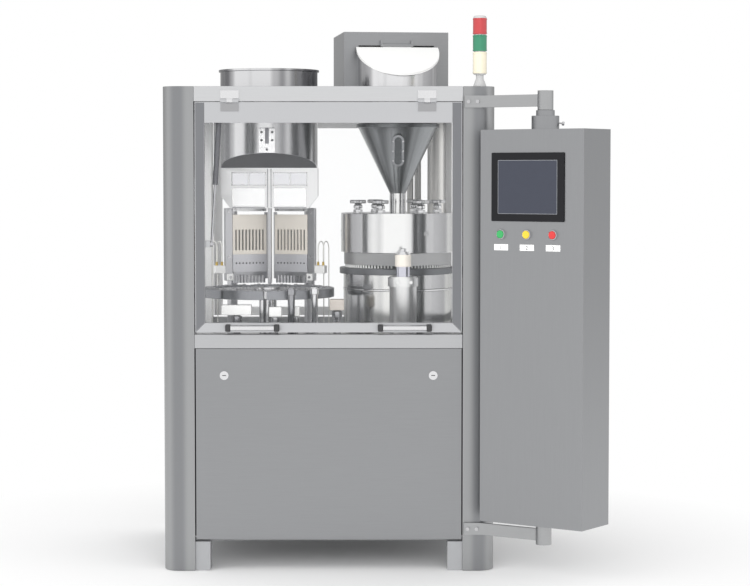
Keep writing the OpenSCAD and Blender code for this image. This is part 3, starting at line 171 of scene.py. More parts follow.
# grain: fine noise on whatever coordinates it is given, with slow cloudy change under it
grain, given, result = group_with("grain", ["Vector"], ["Fineness", "Clouds"])
fine = added(
    grain, "TexNoise", {"Vector": given["Vector"], "Scale": given["Fineness"], "Detail": 4,
                        "Roughness": 0.65})
slow = added(grain, "TexNoise", {"Vector": given["Vector"], "Scale": given["Clouds"], "Detail": 1})
both = added(grain, "Mix", {"Factor": 0.35, "A": fine, "B": slow})
feed(grain, result, {"Tone": both})


def grained(name, slot, colour, rough, stretch=(1, 1, 1), fineness=500, clouds=2.5, depth=0.1, bump=0.15,
            metallic=0.0):
    """A finish, grained along the axis with the smallest stretch; depth is its change in tone; slot is not
    used.
    """
    finish, tree, shader = blank(name)
    where = added(tree, "TexCoord").outputs["Object"]
    along = added(tree, "Mapping", {"Vector": where, "Scale": stretch})
    tone = added(tree, "Group", {"Vector": along, "Fineness": fineness, "Clouds": clouds}, node_tree=grain)
    dark, light = [c * (1 - depth) for c in colour], [min(1, c * (1 + depth)) for c in colour]
    tones = added(tree, "Mix", {"Factor": tone, "A": dark + [1], "B": light + [1]}, data_type="RGBA",
                  name="tones")
    sheen = added(tree, "MapRange", {"Value": tone, "To Min": rough - 0.05, "To Max": rough + 0.08})
    relief = added(tree, "Bump", {"Strength": bump, "Distance": 0.0004, "Height": tone})
    feed(tree, shader, {"Metallic": metallic, "Base Color": tones.outputs["Result"],
                        "Roughness": sheen, "Normal": relief})
    return finish


def brushed(name, slot, colour, rough, **marks):
    """A grained finish on bare metal."""
    return grained(name, slot, colour, rough, metallic=1.0, **marks)


air_line_plastic = grained(
    "air_line_plastic", "tube_plastic", (0.8, 0.8, 0.76), 0.35, fineness=900, depth=0.08)
route = [(0, FITTING_TOP + (BEND_Z - FITTING_TOP) * step / 4) for step in range(5)]
for step in range(1, 13):
    turn = math.pi * step / 12
    route.append((BEND_RADIUS * (1 - math.cos(turn)), BEND_Z + BEND_RADIUS * math.sin(turn)))
route += [(2 * BEND_RADIUS, BEND_Z - DROP_STEP * step) for step in range(1, 11)]
air_lines = []
for side in (-1, 1):
    for across in FITTINGS:
        points = [magazine_frame(side) @ Vector((side * across, y, z)) for y, z in route]
        line_data = bpy.data.curves.new("air_line", "CURVE")
        line_data.dimensions = "3D"
        line_data.bevel_depth = LINE_RADIUS
        line_data.bevel_resolution = 3
        line_data.use_fill_caps = True
        spline = line_data.splines.new("POLY")
        spline.points.add(len(points) - 1)
        for point, made in zip(spline.points, points):
            point.co = (*made, 1)
        line = shown(f"air_line_{len(air_lines) + 1}", line_data)
        line_data.materials.append(air_line_plastic)
        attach(line, "machine_frame")
        air_lines.append(line)
for line in air_lines:
    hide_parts("air_tubes")

# Base: a welded plate on four square feet, painted a flat light grey.
# Bolts go down through the feet into the floor.
base_paint = grained("base_paint", "cast_grey", (0.335, 0.34, 0.35), 0.5, bump=0.3)


def smoothed(mesh, degrees=32):
    """Smooth shading that stops at the sharp edges."""
    mesh.polygons.foreach_set("use_smooth", [True] * len(mesh.polygons))
    mesh.set_sharp_from_angle(angle=math.radians(degrees))


def piece_of(name, bm):
    """A piece at the origin from a finished mesh in code."""
    mesh = bpy.data.meshes.new(name)
    bm.to_mesh(mesh)
    bm.free()
    return shown(name, mesh)


def plain_mesh(piece):
    """What an object looks like with its modifiers, as a new plain mesh."""
    return bpy.data.meshes.new_from_object(piece.evaluated_get(bpy.context.evaluated_depsgraph_get()))


def settled(piece, modifier, degrees):
    """Keeps what a modifier makes of a piece as its plain mesh, and takes the modifier away."""
    made = plain_mesh(piece)
    made.name = piece.name
    piece.modifiers.remove(modifier)
    piece.data = made
    smoothed(made, degrees)


def broken_edges(piece, edge, steps=2):
    """Breaks the sharp edges of a piece, as a maker does with a file or a press."""
    piece.data.polygons.foreach_set("use_smooth", [True] * len(piece.data.polygons))
    bevel = piece.modifiers.new("edge", "BEVEL")
    bevel.width = edge
    bevel.segments = steps
    bevel.limit_method = "ANGLE"
    bevel.angle_limit = math.radians(35)
    bevel.use_clamp_overlap = True
    settled(piece, bevel, 18)


def fitted(piece, finish, body, *stands_for, slot=None):
    """Gives a piece its finish, the body it rides on and the solids it stands for; its slot is not used."""
    piece.data.materials.clear()
    piece.data.materials.append(finish)
    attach(piece, body)
    if stands_for:
        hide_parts(*stands_for)


def softened(node, edge, finish, keep=None, name=None):
    """A piece with a solid's own shape and its edges broken; keep picks the parts of it by their middle."""
    bm = bmesh.new()
    bm.from_mesh(nodes[node].data)
    bmesh.ops.remove_doubles(bm, verts=bm.verts, dist=1e-5)
    if keep:
        left = set(bm.faces)
        drop = []
        while left:
            part, edge_faces = set(), [left.pop()]
            while edge_faces:
                face = edge_faces.pop()
                part.add(face)
                for near in {f for side in face.edges for f in side.link_faces if f in left}:
                    left.discard(near)
                    edge_faces.append(near)
            corners = [v.co for f in part for v in f.verts]
            middle = Vector([(max(c[i] for c in corners) + min(c[i] for c in corners)) / 2 for i in range(3)])
            if not keep(middle):
                drop += part
        bmesh.ops.delete(bm, geom=drop, context="FACES")
    bmesh.ops.dissolve_limit(bm, angle_limit=math.radians(0.5), verts=bm.verts, edges=bm.edges)
    piece = piece_of(name or node + "_made", bm)
    broken_edges(piece, edge)
    fitted(piece, finish, body_of[node], node)


softened("base_frame", 0.003, base_paint)

# Corner pillars: four hollow posts folded from steel sheet, each with one round outer corner.
# The sheet is brushed lengthwise and capped at the top; the rear pair is coloured white as painted light,
# standing in for the bright light seen behind the chamber.
# a group for painted reflections: a tone of light and dark upright bands fixed round an upright axis
bands, given, result = group_with("bands", ["Vector", "Centre"], ["Turns", "Phase", "Ripple"])
out = added(bands, "VectorMath", {0: given["Vector"], 1: given["Centre"]}, operation="SUBTRACT")
split = added(bands, "SeparateXYZ", {0: out}).outputs
around = maths(bands, "ARCTAN2", split["X"], maths(bands, "MULTIPLY", split["Y"], -1))


def wave(times, share, shift=0.0):
    """A cosine that goes so many times round the axis, at a share of full strength."""
    angle = maths(bands, "ADD", maths(bands, "MULTIPLY", around, times), shift)
    return maths(bands, "MULTIPLY", maths(bands, "COSINE", angle), share)


broad = wave(given["Turns"], 1.0, given["Phase"])
narrow = wave(11, given["Ripple"], given["Phase"])
slim = wave(29, maths(bands, "MULTIPLY", given["Ripple"], 0.38))
heard = maths(bands, "ADD", maths(bands, "ADD", broad, narrow), slim)
contrast = added(
    bands, "MapRange", {"Value": heard, "From Min": -0.95, "From Max": 0.75}, interpolation_type="SMOOTHSTEP")
feed(bands, result, {"Tone": contrast})


def polished_round(name, slot, dark, light, rough, centre, turns=4, phase=0.0, ripple=0.42,
                   stretch=(0.03, 0.03, 1)):
    """Steel polished round an upright axis, with painted reflections: soft upright light and dark bands in
    its colour.
    """
    finish = brushed(name, slot, light, rough, stretch=stretch, fineness=600, clouds=4, depth=0.06, bump=0.05)
    tree = finish.node_tree
    where, tones = tree.nodes["Texture Coordinate"].outputs["Object"], tree.nodes["tones"].outputs["Result"]
    reflection_tone = added(tree, "Group", {"Vector": where, "Centre": (*centre, 0), "Turns": turns, "Phase": phase,
                                 "Ripple": ripple}, node_tree=bands)
    mixed = added(tree, "Mix", {"Factor": reflection_tone, "A": (*dark, 1), "B": tones}, data_type="RGBA")
    feed(tree, tree.nodes["Principled BSDF"], {"Base Color": mixed.outputs["Result"]})
    return finish


# The front pillars carry painted reflections: light and dark upright bands across the round corner, placed
# mirror-wise on the two sides.
for side, name in ((-1, "left_pillar"), (1, "right_pillar")):
    pillar_steel = polished_round(
        name + "_steel", "pillar_steel", (0.285, 0.29, 0.3), (0.4, 0.405, 0.41), 0.34, (side * 0.54, -0.4),
        turns=6, phase=-side * 3.45, ripple=0.05, stretch=(1, 1, 0.012))
    softened(
        "corner_pillars", 0.0015, pillar_steel, lambda middle: middle.y < 0 and middle.x * side > 0, name)
rear_painted_light_white = grained(
    "rear_painted_light_white", "pillar_steel", (0.93, 0.93, 0.93), 0.5, stretch=(1, 1, 0.05), fineness=420, clouds=1.5,
    depth=0.03)
softened("corner_pillars", 0.0015, rear_painted_light_white, lambda middle: middle.y > 0, "rear_pillars")

# Header rails and lower bands: folded channels welded between the pillars, brushed along their length.
# They are coloured lighter than the pillars as painted light, for the bright reflection they catch, and the
# header rails lighter than the lower bands.
for name, tone, upper in (("header_rails", 0.67, True), ("lower_bands", 0.55, False)):
    rail_painted_light_steel = brushed(
        name + "_steel", "light_steel", (tone, tone + 0.005, tone + 0.015), 0.38, stretch=(0.02, 0.02, 1),
        fineness=380, clouds=1.2, depth=0.08)
    softened("frame_rails", 0.0025, rail_painted_light_steel, lambda middle: (middle.z > 1.2) == upper, name)

# Roof and work deck: flat plates screwed down inside the frame.
# The roof has a plain brushed face, and the deck is ground bright under the turret.
panel_steel = brushed(
    "panel_steel", "panel_steel", (0.345, 0.35, 0.36), 0.36, stretch=(0.02, 0.02, 1), fineness=420,
    clouds=1.2)
deck_steel = brushed(
    "deck_steel", "machined_alloy", (0.7, 0.7, 0.71), 0.24, stretch=(1, 0.03, 1), fineness=420, clouds=1.5,
    depth=0.14)
softened("roof_panel", 0.001, panel_steel)
softened("deck_plate", 0.002, deck_steel)

# Fixed panels: shallow sheet trays below the deck at both sides and the back, held by round-headed screws.
# The left one and the rear one have two blocks of louvres to cool the drive.
SIDE_FACE, REAR_FACE = 0.598, 0.498
softened("fixed_panels", 0.003, panel_steel)

# studs: a turned stud such as a screw, a bush or a pin on each point, facing along its normal
studs = bpy.data.node_groups.new("studs", "GeometryNodeTree")
for label, kind in (("Points", "Geometry"), ("Radius", "Float"), ("Height", "Float"), ("Recess", "Float"),
                    ("Depth", "Float"), ("Sides", "Int"), ("Finish", "Material")):
    studs.interface.new_socket(label, in_out="INPUT", socket_type="NodeSocket" + kind)
studs.interface.new_socket("Studs", in_out="OUTPUT", socket_type="NodeSocketGeometry")
given = added(studs, "NodeGroupInput").outputs
drum = added(studs, "GeometryNodeMeshCylinder",
             {"Vertices": given["Sides"], "Radius": given["Radius"], "Depth": given["Height"]}).outputs
rim = added(studs, "GeometryNodeExtrudeMesh",
            {"Mesh": drum["Mesh"], "Selection": drum["Top"], "Offset Scale": 0.0}).outputs
shrunk = added(studs, "GeometryNodeScaleElements",
               {"Geometry": rim["Mesh"], "Selection": rim["Top"], "Scale": given["Recess"]})
inwards = maths(studs, "MULTIPLY", given["Depth"], -1.0)
sunk = added(studs, "GeometryNodeExtrudeMesh",
             {"Mesh": shrunk, "Selection": rim["Top"], "Offset Scale": inwards})
up = added(studs, "CombineXYZ", {"Z": maths(studs, "MULTIPLY", given["Height"], 0.5)})
lifted = added(studs, "GeometryNodeTransform", {"Geometry": sunk, "Translation": up})
facing = added(studs, "GeometryNodeInputNamedAttribute", {"Name": "facing"}, data_type="FLOAT_VECTOR")
turn = added(studs, "FunctionNodeAlignRotationToVector", {"Vector": facing.outputs["Attribute"]})
spread = added(
    studs, "GeometryNodeInstanceOnPoints", {"Points": given["Points"], "Instance": lifted, "Rotation": turn})
real = added(studs, "GeometryNodeRealizeInstances", {"Geometry": spread})
coat = added(studs, "GeometryNodeSetMaterial", {"Geometry": real, "Material": given["Finish"]})
feed(studs, added(studs, "NodeGroupOutput"), {"Studs": coat})


def stud_set(name, places, finish, body, radius, height, recess=0.5, depth=0.001, sides=16):
    """One piece with a stud on each place; a place is a point on the surface and the way it faces."""
    mesh = bpy.data.meshes.new(name)
    mesh.from_pydata([tuple(p) for p, _ in places], [], [])
    way = mesh.attributes.new("facing", "FLOAT_VECTOR", "POINT")
    way.data.foreach_set("vector", [c for _, w in places for c in Vector(w).normalized()])
    piece = shown(name, mesh)
    growth = piece.modifiers.new("growth", "NODES")
    growth.node_group = studs
    sizes = {"Radius": radius, "Height": height, "Recess": recess, "Depth": depth, "Sides": sides,
             "Finish": finish}
    for item in studs.interface.items_tree:
        if item.name in sizes:
            growth[item.identifier] = sizes[item.name]
    settled(piece, growth, 32)
    fitted(piece, finish, body)


screw_steel = brushed("screw_steel", "bright_steel", (0.6, 0.6, 0.61), 0.25, fineness=900, depth=0.12)
panel_screws = []
for z in (0.145, 0.46, 0.775):
    for y in (-0.36, 0.36):
        panel_screws += [((side * SIDE_FACE, y, z), (side, 0, 0)) for side in (-1, 1)]
    panel_screws += [((x, REAR_FACE, z), (0, 1, 0)) for x in (-0.45, 0.0, 0.45)]
stud_set("panel_screws", panel_screws, screw_steel, "machine_frame", 0.007, 0.003)


def lofted_into(bm, rings):
    """Adds a closed shape through rings of points, with a face over the first and the last."""
    rings = [[bm.verts.new(point) for point in reflection_tone] for reflection_tone in rings]
    faces = [bm.faces.new(rings[0][::-1]), bm.faces.new(rings[-1])]
    for a, b in zip(rings, rings[1:]):
        faces += [bm.faces.new((a[i - 1], a[i], b[i], b[i - 1])) for i in range(len(a))]
    bmesh.ops.recalc_face_normals(bm, faces=faces)


def cut_piece(name, bm, edge, finish, body, *stands_for, steps=2, slot=None):
    """A piece made of flat-sided shapes, with its edges broken."""
    piece = piece_of(name, bm)
    broken_edges(piece, edge, steps)
    fitted(piece, finish, body, *stands_for, slot=slot)


def strips(name, lines, width, proud, finish, body, edge):
    """One piece of narrow flat strips; each line gives both ends and the way its face looks."""
    bm = bmesh.new()
    for first, last, way in lines:
        run = (Vector(last) - Vector(first)).normalized()
        out = Vector(way).normalized()
        across = run.cross(out) * width / 2
        foot = [Vector(end) + s * across for end, s in ((first, -1), (first, 1), (last, 1), (last, -1))]
        lofted_into(bm, [foot, [corner + out * proud for corner in foot]])
    cut_piece(name, bm, edge, finish, body, steps=1)


louvres = []
for row in range(9):
    z = 0.24 + 0.022 * row
    louvres += [((-SIDE_FACE, y - 0.09, z), (-SIDE_FACE, y + 0.09, z), (-1, 0, 0.5)) for y in (-0.18, 0.18)]
    louvres += [((x - 0.11, REAR_FACE, z), (x + 0.11, REAR_FACE, z), (0, 1, 0.5)) for x in (-0.24, 0.24)]
strips("panel_louvres", louvres, 0.012, 0.004, panel_steel, "machine_frame", edge=0.0015)

# Window hinges: the fixed halves screwed to the header on all four sides, bright steel with through pins.
# The one at the left front also carries the stud of the gas strut.
bright_steel = brushed(
    "bright_steel", "bright_steel", (0.78, 0.78, 0.79), 0.16, stretch=(1, 1, 0.2), clouds=6, bump=0.05)
softened("window_hinges", 0.0008, bright_steel)
SIDE_HINGE, FRONT_HINGE = 0.25, 0.355
hinge_screws = []
for turn in range(4):
    face, reach = (0.5, FRONT_HINGE) if turn % 2 else (0.6, SIDE_HINGE)
    spin = spun(90 * turn, "Z")
    for middle in (-reach, reach):
        for across in (-0.022, 0.022):
            hinge_screws.append((spin @ Vector((face, middle + across, 1.7285)), spin @ Vector((1, 0, 0))))
stud_set("hinge_screws", hinge_screws, screw_steel, "machine_frame", 0.0045, 0.002)

# Front window: a mitred frame of satin alloy tube that hangs from the header on two hinges.
# Its upright tubes are faced with a thin darker sheet as painted shade, and fine joint lines show where the
# tubes meet.
window_alloy = brushed(
    "window_alloy", "window_alloy", (0.61, 0.615, 0.63), 0.4, stretch=(0.05, 0.05, 0.05), fineness=9000,
    clouds=30, depth=0.05, bump=0.05)
softened("front_window_frame", 0.002, window_alloy)
leaf_steel = brushed("leaf_steel", "bright_steel", (0.42, 0.42, 0.43), 0.3, stretch=(0.2, 1, 1))
leaves = [((x - 0.0325, -0.503, 1.679), (x + 0.0325, -0.503, 1.679), (0, -1, 0))
          for x in (-FRONT_HINGE, FRONT_HINGE)]
strips("hinge_leaves", leaves, 0.029, 0.0005, leaf_steel, "front_window", edge=0.0002)
joint_shade = grained("joint_shade", "dark_metal", (0.1, 0.1, 0.105), 0.6, fineness=800)
WINDOW_FRONT, WINDOW_BACK = -0.498, -0.468
mitres = []
for side in (-1, 1):
    for first, last in (((0.4795, 0.8695), (0.4475, 0.9015)), ((0.447, 1.697), (0.447, 1.6245))):
        mitres.append(
            ((side * first[0], WINDOW_FRONT, first[1]), (side * last[0], WINDOW_FRONT, last[1]), (0, -1, 0)))
strips("front_window_mitres", mitres, 0.001, 0.0002, joint_shade, "front_window", edge=0.00005)
# The thin sheet on the upright tubes is coloured dark as painted shade.
stile_shade_alloy = brushed(
    "stile_shade_alloy", "window_alloy", (0.26, 0.265, 0.28), 0.4, stretch=(1, 1, 0.02), fineness=420, clouds=2,
    depth=0.06, bump=0.05)
bm = bmesh.new()
for side in (-1, 1):
    outline = ((0.479, 0.872), (0.4475, 0.903), (0.4475, 1.696), (0.479, 1.696))
    lofted_into(bm, [[(side * x, y, z) for x, z in outline] for y in (-0.4982, -0.4979)])
fitted(piece_of("stile_shade_facings", bm), stile_shade_alloy, "front_window")

# Panes: clear plastic sheet with faint smears, set in the middle of the frames.
# The front one is a piece of its own; the sides and the back have the same sheet in frames of one piece.


def clear_sheet(name, tint, alpha, rough):
    """A see-through sheet with faint smears in its gloss."""
    finish, tree, shader = blank(name)
    where = added(tree, "TexCoord").outputs["Object"]
    noise = added(tree, "Group", {"Vector": where, "Fineness": 40, "Clouds": 5}, node_tree=grain)
    smear = added(tree, "MapRange", {"Value": noise, "To Min": rough, "To Max": rough + 0.08})
    feed(tree, shader, {"Base Color": (*tint, 1), "Alpha": alpha, "Roughness": smear})
    return finish


def coated(node, finish):
    """A solid that stays as it is and gets its finish."""
    nodes[node].data.materials.clear()
    nodes[node].data.materials.append(finish)


pane_sheet = clear_sheet("pane_sheet", (0.8, 0.84, 0.85), 0.02, 0.02)
coated("front_window_pane", pane_sheet)


def block_into(bm, low, high, place=Matrix()):
    """Adds a box between two corners, moved to its place."""
    size = Vector(high) - Vector(low)
    middle = (Vector(high) + Vector(low)) / 2
    for v in bmesh.ops.create_cube(bm, size=1.0)["verts"]:
        v.co = place @ (v.co * size + middle)


def turned_into(bm, profile, place=Matrix(), steps=48):
    """Adds a turned shape: a profile of radius and height, spun round Z and moved to its place."""
    turns = [2 * math.pi * i / steps for i in range(steps)]
    rings = []
    for radius, height in profile:
        around = turns if radius > 1e-6 else [0]
        rings.append([bm.verts.new(place @ Vector((radius * math.cos(turn), radius * math.sin(turn), height)))
                      for turn in around])
    closed = len(rings[0]) > 1
    faces = []
    for a, b in list(zip(rings, rings[1:])) + ([(rings[-1], rings[0])] if closed else []):
        for i in range(steps):
            j = (i + 1) % steps
            if len(a) == 1:
                faces.append(bm.faces.new((a[0], b[i], b[j])))
            elif len(b) == 1:
                faces.append(bm.faces.new((a[i], b[0], a[j])))
            else:
                faces.append(bm.faces.new((a[i], b[i], b[j], a[j])))
    bmesh.ops.recalc_face_normals(bm, faces=faces)


def round_piece(name, bm, finish, body, *stands_for, slot=None):
    """A piece made of turned shapes, shaded smooth up to its sharp edges."""
    piece = piece_of(name, bm)
    smoothed(piece.data)
    fitted(piece, finish, body, *stands_for, slot=slot)


def turned(name, profile, place, finish, body, *stands_for, steps=48, slot=None):
    """A piece that is one turned shape."""
    bm = bmesh.new()
    turned_into(bm, profile, place, steps)
    round_piece(name, bm, finish, body, *stands_for, slot=slot)


along_x = spun(90, "Y")
RAIL, LOW_Z, HIGH_Z, TOP_RAIL_Z = 0.034, 0.868, 1.698, 1.624
for name, half, hinge_at, place in (("left_window", 0.381, SIDE_HINGE, spun(-90, "Z") @ moved(0, -0.1, 0)),
                                    ("right_window", 0.381, SIDE_HINGE, spun(90, "Z") @ moved(0, -0.1, 0)),
                                    ("rear_window", 0.481, FRONT_HINGE, spun(180, "Z"))):
    bm = bmesh.new()
    light = half - RAIL
    outer = [(-half, LOW_Z), (half, LOW_Z), (half, HIGH_Z), (-half, HIGH_Z)]
    inner = [(-light, LOW_Z + RAIL), (light, LOW_Z + RAIL), (light, TOP_RAIL_Z), (-light, TOP_RAIL_Z)]
    edges = ((outer, WINDOW_FRONT), (inner, WINDOW_FRONT), (inner, WINDOW_BACK), (outer, WINDOW_BACK))
    rings = [[bm.verts.new(place @ Vector((x, y, z))) for x, z in reflection_tone] for reflection_tone, y in edges]
    for a, b in zip(rings, rings[1:] + rings[:1]):
        for i in range(4):
            bm.faces.new((a[i], b[i], b[(i + 1) % 4], a[(i + 1) % 4]))
    bmesh.ops.recalc_face_normals(bm, faces=bm.faces)
    for middle in (-hinge_at, hinge_at):
        block_into(bm, (middle - 0.033, -0.503, 1.664), (middle + 0.033, -0.4985, 1.6935), place)
        for x0, x1 in ((-0.033, -0.0113), (0.0113, 0.033)):
            turned_into(bm, [(0.0041, x0), (0.0075, x0), (0.0075, x1), (0.0041, x1)],
                        place @ moved(middle, -0.508, 1.702) @ along_x, steps=24)
            block_into(bm, (middle + x0, -0.5065, 1.6925), (middle + x1, -0.5, 1.698), place)
    # The rear window's frame takes the same white, as painted light.
    cut_piece(name + "_frame", bm, 0.0015, rear_painted_light_white if name == "rear_window" else window_alloy, name, name,
              slot="window_alloy")
    bm = bmesh.new()
    block_into(bm, (-light, -0.486, LOW_Z + RAIL), (light, -0.48, TOP_RAIL_Z), place)
    fitted(piece_of(name + "_pane", bm), pane_sheet, name, name)

# Handles: a polished tube between two dark moulded end blocks, screwed to the window's bottom rail.
# There is one near each end, with room for fingers behind the tube.
HANDLE_X, HANDLE_Z, TUBE_HALF = 0.275, 0.885, 0.078
handle_black = grained(
    "handle_black", "dark_metal", (0.035, 0.035, 0.037), 0.42, fineness=1200, depth=0.2, bump=0.25)
tubes, blocks = bmesh.new(), bmesh.new()
for middle in (-HANDLE_X, HANDLE_X):
    turned_into(tubes, [(0, -TUBE_HALF), (0.0098, -TUBE_HALF), (0.0098, TUBE_HALF), (0, TUBE_HALF)],
                moved(middle, -0.522, HANDLE_Z) @ along_x, steps=32)
    for end in (-1, 1):
        block_into(blocks, (-0.01, -0.035, -0.013), (0.01, 0, 0.013),
                   moved(middle + end * 0.0875, WINDOW_FRONT, HANDLE_Z))
round_piece("handle_tubes", tubes, bright_steel, "front_window", "window_handles")
cut_piece("handle_ends", blocks, 0.005, handle_black, "front_window", "window_handles", steps=3)

# Gas strut: a dark lacquered tube with a chromed rod, hung between the header and the window's left stile.
# It holds the window up when it is opened.
strut_black = grained("strut_black", None, (0.08, 0.08, 0.09), 0.3, fineness=700, depth=0.15)
rod_chrome = brushed("rod_chrome", None, (0.55, 0.55, 0.57), 0.12, stretch=(1, 1, 8), depth=0.06, bump=0.03)
coated("strut_tube", strut_black)
coated("strut_rod", rod_chrome)

# Lower front panel: one shallow brushed tray that tilts out on two pins at its foot.
# Two quarter-turn locks with chromed faces hold it at the top; each has a dark key slot.
softened("front_panel", 0.003, panel_steel)
for x, name in ((-0.378, "left_lock"), (0.378, "right_lock")):
    softened(name, 0.0015, bright_steel)
    strips(name + "_slot", [((x - 0.007, -0.5033, 0.712), (x + 0.007, -0.5033, 0.712), (0, -1, 0))],
           0.0035, 0.0003, joint_shade, name, edge=0.0001)

# Capsule hopper: a rolled and polished steel drum with a turned lip, standing through the roof on a collar.
# Its dark floor slopes down to the rear, and a slotted plate on its front guides the level switch.
hopper_steel = polished_round(
    "hopper_steel", "hopper_steel", (0.2, 0.2, 0.21), (0.74, 0.74, 0.75), 0.2, (FEED_X, -0.01), turns=3,
    phase=0.8)
floor_steel = grained(
    "floor_steel", "dark_metal", (0.048, 0.048, 0.055), 0.55, stretch=(1, 0.05, 1), fineness=300, depth=0.2)
softened("capsule_hopper", 0.001, hopper_steel)
softened("hopper_floor", 0.001, floor_steel)
feeder_white = grained(
    "feeder_white", "bright_steel", (0.97, 0.97, 0.98), 0.2, stretch=(0.1, 1, 1), fineness=400, depth=0.03,
    metallic=0.6)
softened("feeder_plates", 0.0008, feeder_white)
slot_shade = grained(
    "slot_shade", "dark_metal", (0.22, 0.22, 0.24), 0.4, stretch=(1, 1, 0.1), fineness=400, depth=0.25)
for name, front, low, high, finish in (
        ("level_slot", -0.2004, 1.553, 1.6105, slot_shade),
        ("slot_stop", -0.1998, 1.5385, 1.553, feeder_white)):
    bm = bmesh.new()
    block_into(bm, (FEED_X - 0.007, front, low), (FEED_X + 0.007, -0.1958, high))
    fitted(piece_of(name, bm), finish, "machine_frame")
plate_bolts = [((FEED_X + x, -0.203, z), (0, -1, 0)) for x in (-0.02, 0.02) for z in (1.5655, 1.5955)]
plate_bolts.append(((FEED_X, -0.2, 1.531), (0, -1, 0)))
stud_set("plate_bolts", plate_bolts, joint_shade, "machine_frame", 0.0045, 0.0008)

# Feed box: folded satin steel under the hopper, narrowing to the magazines, with two windows in its front.
# Each window has a frosted pane in a thin bright rim, and the capsules run down behind it.
WINDOW_X, WINDOW_HALF = 0.079, 0.0625


def rim_into(bm, low, high, width, front, rear, place=Matrix()):
    """Adds four bars along the inside of an upright rectangle, given by two corners in X and Z."""
    (x0, z0), (x1, z1) = low, high
    for (xa, za), (xb, zb) in (((x0, z1 - width), high), (low, (x1, z0 + width)), (low, (x0 + width, z1)),
                               ((x1 - width, z0), high)):
        block_into(bm, (xa, front, za), (xb, rear, zb), place)


feed_steel = brushed(
    "feed_steel", "hopper_steel", (0.96, 0.96, 0.97), 0.34, stretch=(0.05, 1, 1), fineness=260, clouds=8,
    depth=0.12)
softened("feed_box", 0.0015, feed_steel)
frosted = clear_sheet("frosted_pane", (0.95, 0.95, 0.98), 0.92, 0.35)
panes, rims, seams = bmesh.new(), bmesh.new(), []
for x in (-0.0065, 0.0065):
    seams.append(((FEED_X + x, -0.005, 1.312), (FEED_X + x, -0.005, 1.46), (0, -1, 0)))
for x in (FEED_X - WINDOW_X, FEED_X + WINDOW_X):
    block_into(panes, (x - WINDOW_HALF, -0.0038, 1.398), (x + WINDOW_HALF, -0.0015, 1.443))
    rim_into(rims, (x - 0.066, 1.395), (x + 0.066, 1.446), 0.0035, -0.0065, -0.004)
    block_into(rims, (x - 0.003, -0.0065, 1.3985), (x + 0.003, -0.004, 1.4425))
    seams.append(((x - WINDOW_HALF, -0.005, 1.3112), (x + WINDOW_HALF, -0.005, 1.3112), (0, -1, 0)))
fitted(piece_of("feed_panes", panes), frosted, "machine_frame")
strips("feed_seams", seams, 0.003, 0.0004, slot_shade, "machine_frame", edge=0.0001)
cut_piece("feed_rims", rims, 0.0005, bright_steel, "machine_frame", steps=1)

# Magazines: cream moulded plates with nine slots, over grey drilled blocks, both lifted together.
# The comb below each has a rib for every channel and pushes the capsules into the turret.
cream = grained(
    "cream", "cream_plastic", (0.79, 0.74, 0.67), 0.45, fineness=700, clouds=10, depth=0.05, bump=0.2)
block_grey = grained(
    "block_grey", "grey_metal", (0.65, 0.65, 0.68), 0.4, stretch=(0.06, 0.06, 1), depth=0.12, metallic=0.5)
rib_steel = brushed("rib_steel", "machined_alloy", (0.55, 0.55, 0.57), 0.28, stretch=(1, 1, 0.1), depth=0.14)
white_plastic = grained(
    "white_plastic", "white_plastic", (0.86, 0.86, 0.85), 0.42, fineness=900, clouds=12, depth=0.05)
softened("magazine_plates", 0.0008, cream)
softened("magazine_blocks", 0.001, block_grey)
softened("combs", 0.0006, rib_steel)
softened("magazine_posts", 0.002, rib_steel)
CHANNELS, PITCH = 9, 0.0136
slots, bore_shade_spots, post_screws = [], [], []
clamps, rails = bmesh.new(), bmesh.new()
for side in (-1, 1):
    place = magazine_frame(side)
    out = place.to_3x3() @ Vector((0, -1, 0))
    for i in range(CHANNELS):
        x = (i - CHANNELS // 2) * PITCH
        slots.append((place @ Vector((x, -0.0001, 1.146)), place @ Vector((x, -0.0001, 1.2245)), out))
        bore_shade_spots.append((place @ Vector((x, -0.0085, 1.096)), out))
    low, high = sorted((side * 0.069, side * 0.0935))
    block_into(clamps, (low, -0.023, 1.03), (high, -0.0095, 1.056), place)
    low, high = sorted((-side * 0.0632, -side * 0.0745))
    block_into(rails, (low, -0.006, 1.035), (high, 0.006, 1.292), place)
    for x, y, z in ((0.0833, -0.01, 1.295), (0.0833, -0.01, 1.12), (0.0812, -0.023, 1.043),
                    (-0.055, -0.01, 1.302), (0.055, -0.01, 1.302)):
        post_screws.append((place @ Vector((side * x, y, z)), out))
# Dark strips at the foot of the slots and dark discs in the blocks' bores are painted shade for their depth.
strips("slot_shades", slots, 0.0066, 0.0006, joint_shade, "magazine", edge=0.0002)
stud_set("bore_shades", bore_shade_spots, joint_shade, "magazine", 0.0034, 0.0005, recess=0.8, depth=0.0002, sides=12)
cut_piece("magazine_rails", rails, 0.0012, rib_steel, "machine_frame")
cut_piece("comb_clamps", clamps, 0.0015, white_plastic, "machine_frame")
stud_set("post_screws", post_screws, screw_steel, "machine_frame", 0.0055, 0.003)

